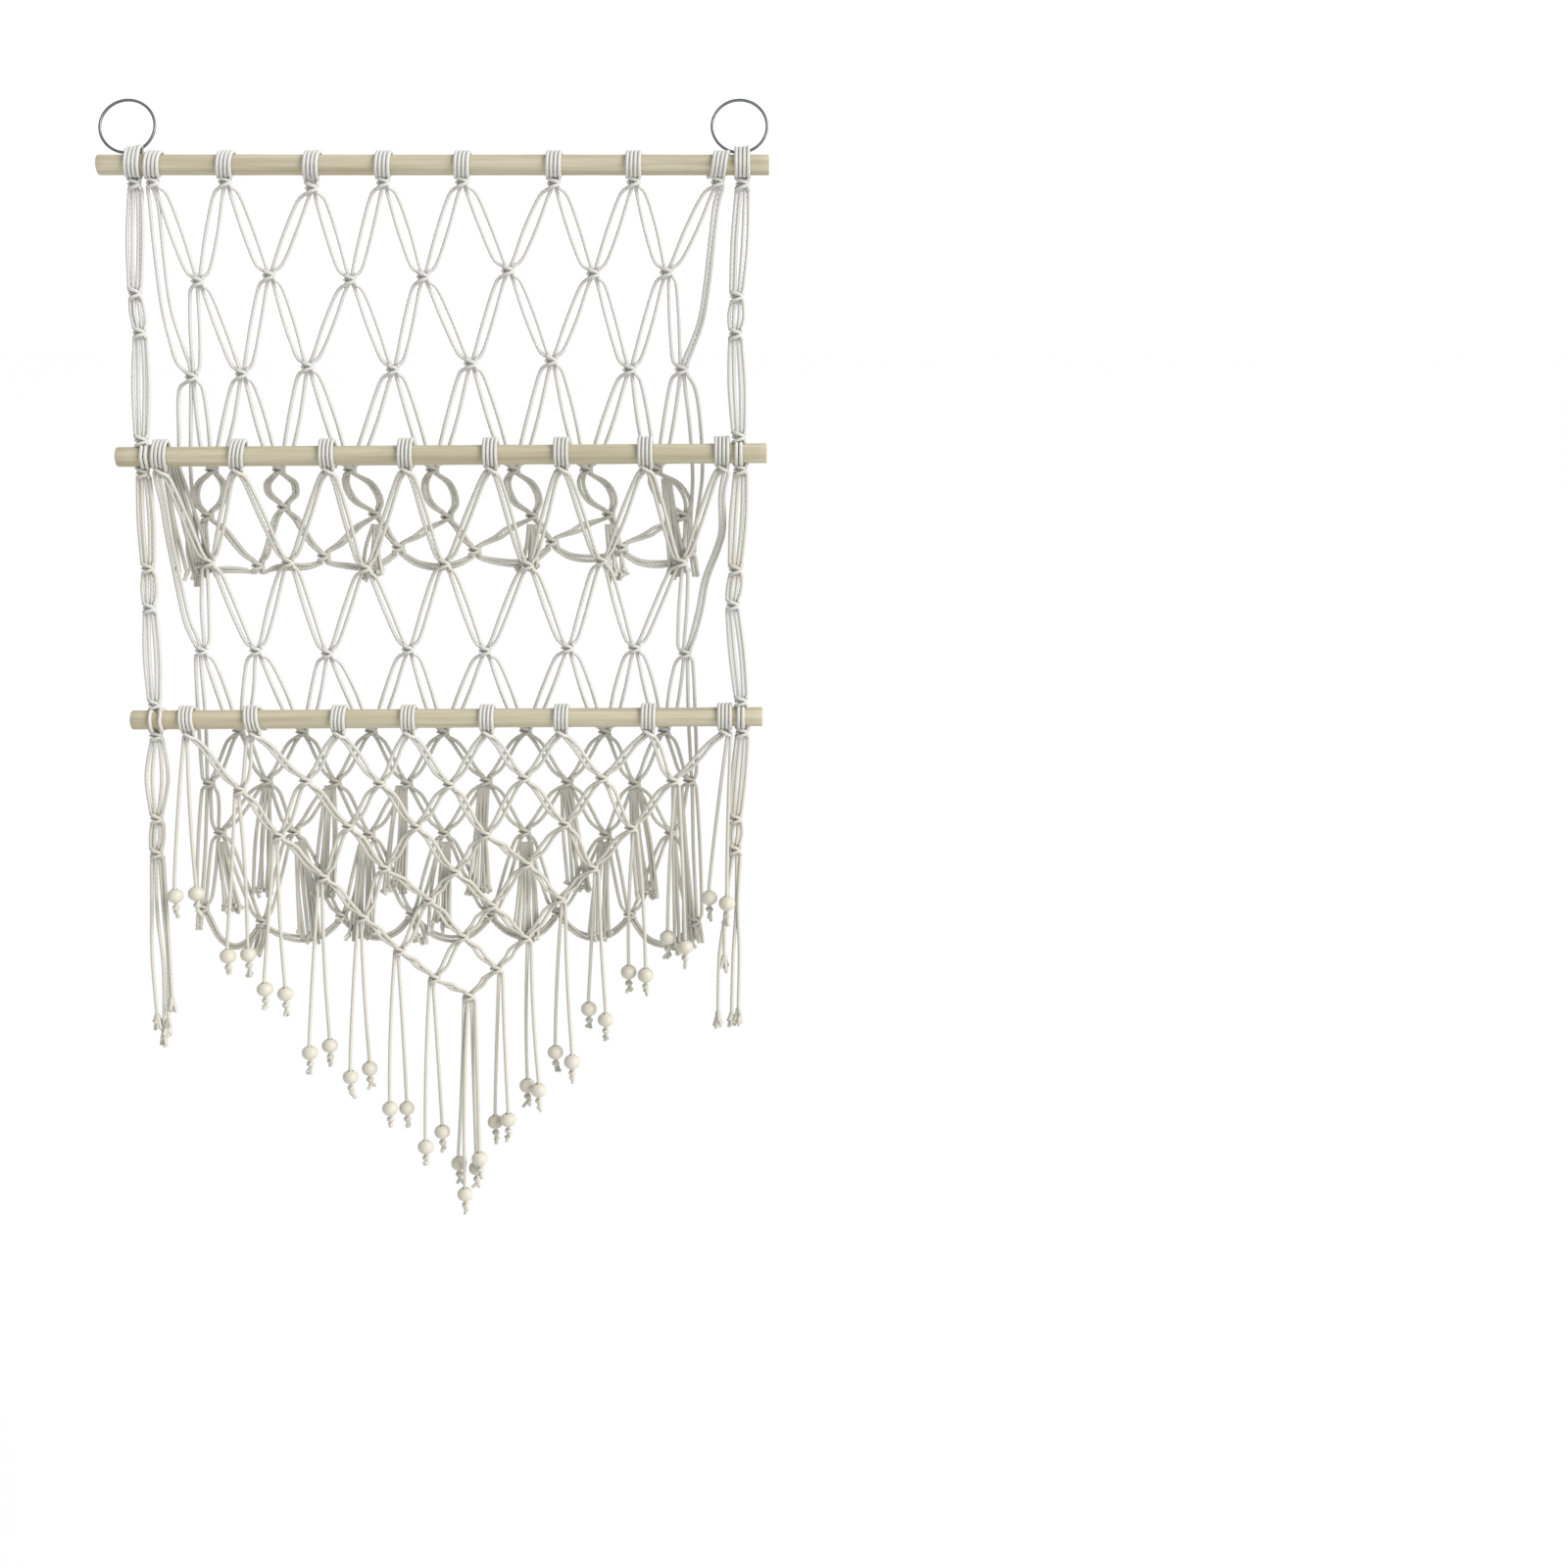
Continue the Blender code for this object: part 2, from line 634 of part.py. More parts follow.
def bead_shape(name):
    half = BEAD_RADIUS * 0.88
    profile = (
        (BORE_RADIUS, half),
        (BEAD_RADIUS * 0.97, half * 0.38),
        (BEAD_RADIUS * 0.97, -half * 0.38),
        (BORE_RADIUS, -half),
    )
    bm = bmesh.new()
    rings = []
    for radius, z in profile:
        rings.append(
            [
                bm.verts.new(
                    (
                        radius * MM * math.cos(2 * math.pi * i / BEAD_SIDES),
                        radius * MM * math.sin(2 * math.pi * i / BEAD_SIDES),
                        z * MM,
                    )
                )
                for i in range(BEAD_SIDES)
            ]
        )
    for k in range(len(rings)):
        a, b = rings[k], rings[(k + 1) % len(rings)]
        for i in range(BEAD_SIDES):
            j = (i + 1) % BEAD_SIDES
            bm.faces.new((a[i], a[j], b[j], b[i]))
    return mesh_of(name, bm)


def ring_lift(ring_across, across):
    """How much higher the rope's wraps go at a place, to pass over the ring's wire."""
    depth, height = RING_SEAT
    aside = min(abs(across - ring_across), RING_RADIUS)
    rise = RING_RADIUS - math.sqrt(RING_RADIUS**2 - aside**2)
    depth += rise * math.sin(RING_LEAN)
    height += rise * math.cos(RING_LEAN)
    clear = (WIRE_RADIUS + CORD_GAP + 0.1) / math.cos(math.radians(36))
    corner = WRAP_INNER * math.sqrt(0.5)
    share = depth / corner
    flat = (1 - share) * WRAP_INNER + share * corner
    return (height + clear - flat) / (1 - share + share * math.sqrt(0.5))


def add_rope(parts, cutters, rope, ring_across, surface):
    """A side rope: four cords knotted at intervals, round each dowel, with a fringe below."""
    plain = knot_shape(False, ROPE_KNOT_WIDTH)
    panel = Panel(rope.name)
    top = rope.across[0]
    lifts = [ring_lift(ring_across, top + end * WRAP_WIDTH / 2) for end in (-1, 1)]
    panel.add_copy(wrap_shape(WRAP_WIDTH, *lifts), point(top, TOP.drop, 0.0))
    knots = list(zip(rope.across, rope.drop))
    for across, drop in knots:
        panel.add_copy(plain, point(across, drop, 0.0))
    narrow = wrap_shape(NARROW_WRAP)
    wide = wrap_shape(2 * NARROW_WRAP)
    for dowel, wraps in zip((MIDDLE, BOTTOM), rope.wraps):
        for across in wraps:
            wrap = wide if len(wraps) == 1 else narrow
            panel.add_copy(wrap, point(across, dowel_drop(dowel, across), 0.0))
    for (x0, d0), (x1, d1) in zip(knots, knots[1:]):
        if any(d0 < dowel.drop < d1 for dowel in (MIDDLE, BOTTOM)):
            continue
        for offset in ROPE_PAIRS:
            a = point(x0 + offset, d0 + KNOT_HEIGHT / 2, 0.0)
            b = point(x1 + offset, d1 - KNOT_HEIGHT / 2, 0.0)
            run(panel, [a, b], PAIR_WIDTH)
    x0, d0 = knots[-1]
    for offset, across, drop in zip(ROPE_CORDS, rope.fringe_across, rope.fringe_drop):
        a = point(x0 + offset, d0 + KNOT_HEIGHT / 2, 0.0)
        end = point(across, drop, 0.0)
        panel.add_bar(sunk(a, end), end, ROPE_CORD_WIDTH)
    panel.build(parts, cutters, surface)


def main():
    parts, cutters = start_scene()
    wood = material("pale wood", (0.72, 0.62, 0.45), 0.6)
    steel = material("dark steel", (0.2, 0.2, 0.21), 0.35, 1.0)
    cotton = material("natural cotton", (0.78, 0.74, 0.64), 0.9)
    bead_wood = material("cream bead", (0.76, 0.73, 0.64), 0.5)

    for dowel in DOWELS:
        add_dowel(parts, dowel, wood)
    for name, across in zip(("ring_left", "ring_right"), RING_ACROSS):
        add_ring(parts, name, across, steel)

    wrap = wrap_shape(WRAP_WIDTH)
    shapes = (knot_shape(True), knot_shape(False))
    half_knot = knot_shape(False, height=HALF_KNOT_HEIGHT)

    upper = Panel("net_upper")
    knots = hang_on_dowel(upper, TOP, UPPER_GROUPS, UPPER_UNDER, UPPER_DEPTH, (wrap, shapes[0]))
    knots = net_rows(upper, UPPER_ROWS, knots, UPPER_DEPTH, shapes, 2, UPPER_OPEN)
    edge_loops(upper, UPPER_DEPTH, knots, UPPER_LOOPS)
    loose_tails(upper, UPPER_DEPTH, UPPER_TAILS)
    upper.build(parts, cutters, cotton)

    middle = Panel("net_middle")
    knots = hang_on_dowel(middle, MIDDLE, MIDDLE_GROUPS, MIDDLE_UNDER, MIDDLE_DEPTH, (wrap, half_knot))
    knots = net_rows(middle, MIDDLE_ROWS[:3], knots, MIDDLE_DEPTH, shapes, 2, MIDDLE_OPEN)
    second = MIDDLE_ROWS[1]
    ends = [(second.across[i], second.drop[i]) for i in (0, -1)]
    knots = crossed_row(middle, MIDDLE_ROWS[3], knots, ends, MIDDLE_DEPTH, shapes[1])
    knots = net_rows(middle, MIDDLE_ROWS[4:], knots, MIDDLE_DEPTH, shapes, 0, 0)
    edge_loops(middle, MIDDLE_DEPTH, knots, MIDDLE_LOOPS)
    loose_tails(middle, MIDDLE_DEPTH, MIDDLE_TAILS)
    middle.build(parts, cutters, cotton)

    lower = Panel("panel_pointed")
    knots = hang_on_dowel(lower, BOTTOM, LOWER_GROUPS, LOWER_UNDER, LOWER_DEPTH, (wrap, half_knot))
    rows = pointed_rows(lower, LOWER_ROWS, knots, LOWER_DEPTH, shapes)
    beaded_cords(lower, LOWER_DEPTH, rows)
    lower.build(parts, cutters, cotton)

    for rope, ring_across in zip(ROPES, RING_ACROSS):
        add_rope(parts, cutters, rope, ring_across, cotton)
    add_beads(parts, bead_wood)


main()
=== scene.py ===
"""Looks for a macrame wall hanging: cotton cord knotted into two nets and a pointed panel, on wooden
dowels, with wooden beads, side ropes and steel rings.

The tables are millimetres. "across" is +X, to the right. "drop" is down from the inner top of the rings.
"depth" is +Y, towards the wall, from the dowels' axes.
"""

import math
import random
from collections import namedtuple

import bmesh
import bpy
from mathutils import Matrix, Vector


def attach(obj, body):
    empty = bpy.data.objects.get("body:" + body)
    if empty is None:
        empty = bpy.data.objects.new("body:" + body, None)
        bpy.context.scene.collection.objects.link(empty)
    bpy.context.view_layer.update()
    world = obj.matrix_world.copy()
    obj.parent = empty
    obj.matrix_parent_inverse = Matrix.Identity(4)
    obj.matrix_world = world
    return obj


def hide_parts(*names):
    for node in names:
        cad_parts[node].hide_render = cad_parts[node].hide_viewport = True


bl_info = {
    "name": "Macrame wall hanging",
    "version": (1, 0, 0),
    "blender": (4, 5, 0),
    "location": "View3D > Sidebar > Macrame",
    "description": "Knots the cords, turns the wood and lights a macrame wall hanging",
    "category": "Object",
}

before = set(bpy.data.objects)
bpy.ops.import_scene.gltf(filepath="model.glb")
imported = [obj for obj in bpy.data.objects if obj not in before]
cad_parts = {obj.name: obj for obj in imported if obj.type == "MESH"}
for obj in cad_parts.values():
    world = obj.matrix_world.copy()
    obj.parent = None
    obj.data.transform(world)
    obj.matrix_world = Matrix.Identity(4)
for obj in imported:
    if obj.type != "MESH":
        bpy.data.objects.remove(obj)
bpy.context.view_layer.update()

MM = 0.001
DOWEL_Y = -16.0  # the dowels' axes, in front of the line that the wall hooks make
DOWEL_LENGTH = 450.0
RING_LEAN = math.radians(20.0)  # how far a ring's top leans towards the wall
RING_SEAT = (3.0, 8.2)  # a ring's lowest point, from the top dowel's axis: depth and height

Dowel = namedtuple("Dowel", "node across drop left_lower")
TOP = Dowel("dowel_top", 0.0, 42.4, 0.0)
MIDDLE = Dowel("dowel_middle", -2.0, 234.6, 2.6)
BOTTOM = Dowel("dowel_bottom", -5.5, 420.3, 2.6)

# A dowel's eight groups of four cords: across and drop under the dowel of their knots, how far their
# strands lean from the knot to the dowel's top, how high they arch over it, and whether the knots are
# half ones
Groups = namedtuple("Groups", "dowel across under lean rise half")
UPPER_GROUPS = Groups(
    TOP,
    (-188.4, -140.0, -82.0, -34.0, 19.0, 80.5, 134.0, 190.4),
    (11.6, 11.2, 15.1, 11.6, 11.2, 12.1, 11.2, 11.2),
    (2.7, 2.4, 2.0, 1.7, 1.4, 1.0, 0.7, 3.3),
    0.0,
    False,
)
MIDDLE_GROUPS = Groups(
    MIDDLE,
    (-197.0, -144.0, -81.0, -27.0, 32.0, 81.0, 139.0, 192.0),
    (10.2,) * 8,
    (1.0, 2.4, 0.0, 0.5, 0.0, 0.0, 0.0, 0.0),
    2.6,
    True,
)
LOWER_GROUPS = Groups(
    BOTTOM,
    (-190.0, -143.0, -83.0, -33.0, 23.0, 76.0, 138.0, 192.6),
    (10.8,) * 8,
    (-1.2, -2.4, 1.3, 0.3, 0.5, 0.6, 0.4, 0.0),
    0.4,
    True,
)

# The outermost pairs' own courses at a row's left and right: across, drop and half the pair's gap
UPPER_SECOND_EDGES = (
    ((-189.5, 68.6, 2.8), (-189.6, 94, 3.0), (-188.9, 132.7, 3.0), (-184.6, 159, 3.9), (-181.3, 172, 4.2)),
    ((189.3, 68.6, 1.5), (185.7, 94, 1.4), (182.3, 120, 1.4), (177.3, 146, 1.4), (167.0, 171, 1.6)),
)
UPPER_LAST_EDGES = (
    ((-182, 192, 4.2), (-184.5, 219, 4.2), (-186, 250, 3.6), (-183, 285, 2.0)),
    ((170, 192, 3.6), (173, 219, 3.8), (174, 250, 3.4), (171, 282, 2.0)),
)
MIDDLE_SECOND_EDGES = (
    ((-197.4, 270, 1.6), (-197, 286, 1.6), (-195.5, 310, 1.6), (-191, 349, 2.0), (-187, 363, 2.2)),
    (
        *((191.8, 262, 1.4), (191.6, 286, 1.4), (188, 300, 1.5)),
        *((179.5, 322, 1.5), (175, 344, 1.6), (170, 363, 1.5)),
    ),
)
NO_EDGES = ((), ())

# A row of knots, as they were tied by hand: half the gap of the pairs of cords that come down to it, its
# edges, and how far each of those pairs bows out
TIGHT = 1.45
CLOSE = 2.25
Row = namedtuple("Row", "across drop apart edges bow", defaults=(TIGHT, NO_EDGES, 0.0))
UPPER_ROWS = (
    Row((-165, -116, -61, -11, 47, 105, 155), (118, 114, 117, 115, 111, 113, 112), 4.0),
    Row(
        (-176, -141, -95, -36, 18, 74, 128, 164),
        (182, 180, 175, 177, 173, 171, 177, 177),
        3.4,
        UPPER_SECOND_EDGES,
    ),
    Row((-167, -120, -70, -12, 45, 96, 145), (246,) * 7, 3.8),
    Row((-172, -118, -54, -3, 57, 111, 164), (278, 272, 277, 279, 278, 277, 278), bow=6.5),
    Row(
        (-178, -138, -91, -38, 16, 71, 120, 168),
        (311, 313, 306, 300, 302, 296, 300, 304),
        edges=UPPER_LAST_EDGES,
    ),
)
MIDDLE_ROWS = (
    Row((-171, -115, -61, -5, 54, 106, 162), (310, 310, 314, 311, 312, 309, 310), 2.0),
    Row(
        (-182, -143, -92, -34, 21, 80, 128, 164),
        (374, 374, 376, 373, 374, 372, 372, 376),
        2.65,
        MIDDLE_SECOND_EDGES,
    ),
    Row((-160, -114, -64, -12, 48, 105, 148), (433, 434, 433, 434, 433, 434, 433), 3.8),
    Row((-184, -142, -92, -40, 18, 77, 126, 166), (472, 470, 471, 472, 470, 471, 472, 470), 2.6),
    Row((-178, -124, -69, -14, 45, 104, 152), (509, 508, 510, 509, 508, 510, 509), 3.0),
    Row((-194, -151, -92, -40, 18, 68, 121, 169), (566, 576, 572, 570, 571, 569, 571, 576), 2.6),
)
LOWER_ROWS = (
    Row((-157, -109, -56, -6, 48, 104, 155), (473, 466, 468, 469, 464, 464, 466), CLOSE),
    Row((-132, -81, -32, 18, 76, 124), (508, 501, 501, 507, 499, 502), CLOSE),
    Row((-102, -57, -6, 47, 95), (540, 533, 536, 530, 533), CLOSE),
    Row((-75, -26, 20, 70), (571, 558, 562, 557), CLOSE),
    Row((-49, -2, 44), (597, 586, 587), CLOSE),
    Row((-24, 22), (618, 611), CLOSE),
    Row((1,), (632,)),
)
# Each loop's drop, between two knots of a net's last row
UPPER_LOOPS = (316, 314, 314, 314, 311, 308, 312)
MIDDLE_LOOPS = (596, 590, 589, 590, 588, 589, 594)

# How far each panel stands behind the dowels' axes, by drop
UPPER_DEPTH = ((56, -1.0), (205, 18.5), (262, 18.5), (312, 15.5), (340, 15.5))
MIDDLE_DEPTH = ((247, -3.0), (310, 9.0), (402, 18.0), (470, 18.0), (565, 15.5), (620, 15.5))
LOWER_DEPTH = ((434, -3.0), (550, 9.0), (830, 9.0))

# A bunch of loose ends, from a knot to where they are cut, and how far apart its strands end
Tail = namedtuple("Tail", "across drop end_across end_drop strands spread", defaults=(5, 2.2))
UPPER_TAILS = (
    Tail(-197, 238, -180.5, 317, 6, 5.0),
    Tail(-186, 290, -183, 319, 3, 2.4),
    Tail(-53, 284, -57, 318, 6, 2.6),
    Tail(57, 284, 53, 314, 6, 2.6),
    Tail(112, 284, 116, 320, 6, 2.6),
    Tail(152, 252, 160, 318, 5, 3.0),
)
MIDDLE_TAILS = (
    Tail(-178, 516, -172, 566, 5, 3.0),
    Tail(-151, 582, -158, 600),
    Tail(-142, 474, -150, 556, 5, 3.0),
    Tail(-120, 516, -116, 588, 6, 3.0),
    Tail(-96, 474, -104, 556, 6, 3.0),
    Tail(-72, 516, -78, 586, 7, 3.0),
    Tail(-44, 474, -52, 552, 6, 3.2),
    Tail(-38, 574, -34, 590),
    Tail(-14, 516, -20, 580, 6, 3.2),
    Tail(16, 474, 10, 554, 6, 3.2),
    Tail(46, 516, 44, 586, 7, 3.0),
    Tail(76, 474, 84, 550, 6, 3.2),
    Tail(103, 516, 98, 588, 6, 3.0),
    Tail(126, 474, 134, 556, 6, 3.0),
    Tail(157, 474, 162, 592, 6, 3.2),
    Tail(166, 582, 160, 600),
)

# The beads: row of the knot that their cords leave (0 is the dowel), side, and each one's across, drop
# and depth
Beads = namedtuple("Beads", "row side across drop depth")
BEADS = (
    Beads(0, -1, (-206.5, -193.0), (550, 550), (-8.0, -2.0)),
    Beads(1, -1, (-172.5, -159.5), (597, 598), (-4.0, 3.0)),
    Beads(2, -1, (-148.0, -135.0), (624, 630), (0.0, 7.0)),
    Beads(3, -1, (-118.5, -105.0), (675, 672), (3.5, 10.5)),
    Beads(4, -1, (-89.5, -76.5), (695, 691), (5.5, 12.5)),
    Beads(5, -1, (-61.0, -50.0), (720, 723), (5.0, 13.0)),
    Beads(6, -1, (-35.5, -24.0), (751, 742), (5.0, 13.0)),
    Beads(7, 0, (-12.5, -7.0, 0.8, 5.0), (768, 789, 772, 760), (13.5, 4.0, 13.5, 4.0)),
    Beads(6, 1, (16.5, 27.5), (734, 729), (13.0, 5.0)),
    Beads(5, 1, (41.5, 51.0), (705, 705), (13.5, 4.5)),
    Beads(4, 1, (63.5, 76.5), (678, 683), (12.5, 5.5)),
    Beads(3, 1, (89.5, 102.5), (643, 649), (10.5, 3.5)),
    Beads(2, 1, (120.0, 133.0), (613, 613), (7.0, 0.0)),
    Beads(1, 1, (149.5, 162.5), (585, 590), (3.0, -4.0)),
    Beads(0, 1, (180.5, 193.5), (553, 555), (-2.5, -10.0)),
)

# A side rope: its knots from the top, its two inner cords' places in front of the middle and the bottom
# dowel, its fringe, its ring's place across, its lean on the top dowel and how far it opens below the
# bottom one
Rope = namedtuple("Rope", "name node across drop front fringe_across fringe_drop ring lean bulge")
ROPES = (
    Rope(
        "left_rope",
        "rope_left",
        (-201.2, -206, -205, -209, -209.8, -211, -212, -213.5, -214, -218, -220),
        (54.8, 126, 152, 224.6, 247.0, 313, 341, 410.2, 432.8, 494, 520),
        ((-208.2, -205.2), (-215.6, -208.6)),
        (-229, -225, -221, -217),
        (646, 659, 650, 632),
        -206.5,
        1.5,
        2.6,
    ),
    Rope(
        "right_rope",
        "rope_right",
        (207, 203, 202, 203.8, 204.8, 201, 199, 204.4, 205, 200, 199),
        (54.8, 128, 153, 222.1, 244.7, 314, 339, 407.8, 430.4, 494, 517),
        ((202.0, 205.0), (202.6, 205.6)),
        (186, 191, 196, 201),
        (643, 600, 645, 641),
        205.0,
        0.0,
        0.5,
    ),
)

PANEL_CORDS = 32
KNOT_CORDS = 4
EDGE_CORDS = (0, 1, 30, 31)

# A cord's way round a dowel
WRAP_RADIUS = 8.4
WRAP_SHARE = 0.94  # four cords lie this much closer on a dowel than in a knot
WRAP_TURN = (250, 215, 180, 145, 115, 90, 65, 35, 0, -35, -58)  # degrees, from low behind to low in front
WRAP_FRONT = WRAP_TURN[-1]
WRAP_TOP = 90
WRAP_BACK = 178  # a lean has run out here, behind
RISE_AT = math.radians(105.0)  # where an arch over a dowel is highest
PAST_TURN = (-52, 0, 52)  # degrees, where a side rope only passes a dowel

# The legs between knots
PAIR_REACH = 3.3  # from a knot's middle across to where a pair leaves it
LEG_CLEAR = 8.5  # from a knot's middle down to where a pair has opened
LEG_NEAR = 0.36  # but no further than this share of the leg
LEG_SWAY = 0.25
LOOP_SAG = ((0.22, 0.72), (0.5, 1.0), (0.78, 0.72))  # share of a loop's way, and of its sag
LOOP_SWAY = 0.4
SPARE_END = (1.5, 12.0)  # the outermost cords end this far out and down from their last knot

# Loose ends
TAIL_TOP = 0.4  # share of a bunch's spread at its knot
TAIL_UNEVEN = 3.0
TAIL_SWAY = 2.5
TAIL_FORWARD = 0.3
FRINGE_WAVE = 2.0

# Beaded cords
BEAD_CLEAR = 10.0  # a cord hangs straight from here over its bead
BEAD_ENTRY = 9.0
BEAD_EXIT = 5.5
BEAD_TAIL = 14.5
BEAD_SLACK = 1.5
BEAD_TAIL_SWAY = 0.8

# Side ropes
RING_RADIUS = 18.5
RING_REACH = 17.5  # a cord further aside than this isn't lifted more
WIRE_RISE = 2.6
RING_RISE_SHARE = 0.7
ROPE_BOW = (-1.3, -0.8, 0.8, 1.3)
ROPE_BOW_SHORT = 0.5
ROPE_BOW_LONG = 0.85
ROPE_SHORT = 30.0
BOTTOM_STRETCH = 9  # the knot that ends the open stretch below the bottom dowel
ROPE_SWAY = 0.3
ROPE_DEPTH_SWAY = 0.4

# A square knot's four cords, from its middle: across, up, and out towards the front
SLOTS = (-4.25, -1.45, 1.45, 4.25)
KNOT_REACH = 5.0
INNER_ACROSS = 1.15
INNER_UP = 1.9


def both_halves(course):
    """The upper half of a cord's way through a knot, and the same again upside down."""
    return course + tuple((across, -up, out) for across, up, out in course[-2::-1])


UPPER_FRONT = ((-4.0, 3.4, 0.4), (-2.4, 2.7, 2.6), (0.0, 1.9, 3.1), (2.4, 1.0, 2.7), (3.6, 0.0, 1.2))
UPPER_BEHIND = (
    *((3.9, 3.2, 1.4), (3.8, 1.9, 1.8), (2.4, 1.1, -2.2)),
    *((0.0, 0.7, -2.8), (-2.4, 0.3, -2.2), (-3.7, 0.0, 1.6)),
)
IN_FRONT = both_halves(UPPER_FRONT)
BEHIND = both_halves(UPPER_BEHIND)
# A half knot's tying cords change sides: one goes behind to the left, the other in front to the right
HALF_BEHIND = (
    *((4.0, 3.0, 1.6), (3.8, 1.0, 1.4), (2.4, 0.2, -2.2)),
    *((0.0, -0.3, -2.8), (-2.6, -0.8, -2.2), (-4.2, -1.6, 0.4)),
)
HALF_FRONT = ((-4.0, 2.6, -0.4), (-2.4, 1.7, 2.4), (0.0, 0.2, 3.0), (2.4, -1.3, 2.6), (4.3, -2.4, 0.2))
# The stopper knot under a bead, from the bead's middle: across, drop and depth
STOPPER = (
    *((0.2, 7.0, 0.0), (1.4, 8.1, -1.2), (-0.3, 9.0, -1.8), (-1.7, 8.6, 0.2)),
    *((0.1, 7.9, 1.7), (1.6, 9.0, 0.5), (0.3, 10.4, -0.3), (0.2, 12.0, 0.0)),
)


def point(across, drop, depth):
    return Vector((across, DOWEL_Y + depth, -drop)) * MM


def depth_at(profile, drop):
    """A panel's depth at a drop, along its profile."""
    before = profile[0]
    for after in profile:
        if drop <= after[0]:
            if after[0] == before[0]:
                return after[1]
            share = (drop - before[0]) / (after[0] - before[0])
            return before[1] + share * (after[1] - before[1])
        before = after
    return before[1]


def dowel_drop(dowel, across):
    return dowel.drop - dowel.left_lower * (across - dowel.across) / DOWEL_LENGTH


# ---- node helpers


class Tree:
    """A node tree built one node at a time."""

    def __init__(self, tree):
        self.tree = tree

    def node(self, kind, settings=None, values=None, output=0):
        """Adds a node, sets its settings, then its inputs from values or from other sockets."""
        made = self.tree.nodes.new(kind)
        for name, value in (settings or {}).items():
            if name == "stops":
                ramp = made.color_ramp
                while len(ramp.elements) < len(value):
                    ramp.elements.new(0.5)
                for element, (at, colour) in zip(ramp.elements, value):
                    element.position = at
                    element.color = (*colour, 1.0)
            else:
                setattr(made, name, value)
        for name, value in (values or {}).items():
            self.feed(made.inputs[name], value)
        return Field(self, made.outputs[output])

    def feed(self, socket, value):
        if isinstance(value, Field):
            self.tree.links.new(value.socket, socket)
        elif socket.type == "RGBA" and len(value) == 3:
            socket.default_value = (*value, 1.0)
        else:
            socket.default_value = value

    def maths(self, operation, *terms):
        return self.node("ShaderNodeMath", {"operation": operation}, dict(enumerate(terms)))


class Field:
    """One output socket, on which Python's operators add Math nodes."""

    def __init__(self, graph, socket):
        self.graph = graph
        self.socket = socket

    def __add__(self, other):
        return self.graph.maths("ADD", self, other)

    def __sub__(self, other):
        return self.graph.maths("SUBTRACT", self, other)

    def __mul__(self, other):
        return self.graph.maths("MULTIPLY", self, other)

    def __truediv__(self, other):
        return self.graph.maths("DIVIDE", self, other)

    def __mod__(self, other):
        return self.graph.maths("FLOORED_MODULO", self, other)

    def __rsub__(self, other):
        return self.graph.maths("SUBTRACT", other, self)

    def __rtruediv__(self, other):
        return self.graph.maths("DIVIDE", other, self)

    __radd__ = __add__
    __rmul__ = __mul__


class Surface(Tree):
    """A material's nodes, round one Principled BSDF."""

    def __init__(self, name, roughness, metallic=0.0, sheen=0.0, specular=0.5):
        self.material = bpy.data.materials.new(name)
        self.material.use_nodes = True
        super().__init__(self.material.node_tree)
        self.shader = self.tree.nodes["Principled BSDF"]
        values = {"Roughness": roughness, "Metallic": metallic, "Specular IOR Level": specular}
        values |= {"Sheen Weight": sheen, "Sheen Roughness": 0.6}
        for socket, value in values.items():
            self.feed(self.shader.inputs[socket], value)

    def place(self, scale=(1.0, 1.0, 1.0)):
        """Object coordinates, stretched for a pattern."""
        where = self.node("ShaderNodeTexCoord", output=3)
        return self.node("ShaderNodeMapping", None, {"Vector": where, "Scale": scale})

    def noise(self, where, scale, detail, roughness=0.5):
        values = {"Vector": where, "Scale": scale, "Detail": detail, "Roughness": roughness}
        return self.node("ShaderNodeTexNoise", None, values)

    def attribute(self, name):
        return self.node("ShaderNodeAttribute", {"attribute_name": name}, None, 2)

    def mix(self, share, first, second):
        return self.node("ShaderNodeMix", {"data_type": "RGBA"}, {0: share, 6: first, 7: second}, 2)

    def ramp(self, share, stops):
        return self.node("ShaderNodeValToRGB", {"stops": stops}, {0: share})

    def colour(self, value):
        self.feed(self.shader.inputs["Base Color"], value)

    def rough(self, value):
        self.feed(self.shader.inputs["Roughness"], value)

    def bump(self, height, strength, distance):
        values = {"Strength": strength, "Distance": distance, "Height": height}
        self.feed(self.shader.inputs["Normal"], self.node("ShaderNodeBump", None, values))


def clamp01(field):
    return field.graph.maths("MINIMUM", field.graph.maths("MAXIMUM", field, 0.0), 1.0)


# ---- finishes


# The cord turns creamier and darker from this drop down, over this height, in metres: partly its own
# creamier tone, partly painted shade
LOW_CREAM_AND_SHADE_FROM = 0.40
LOW_CREAM_AND_SHADE_BY = 0.08
# Painted shade darkens the cord between these drops too, where the upper net is tucked in behind the middle
# dowel and net, and turns over this height
TUCKED_SHADE_FROM = 0.225
TUCKED_SHADE_TO = 0.345
TUCKED_SHADE_BY = 0.025


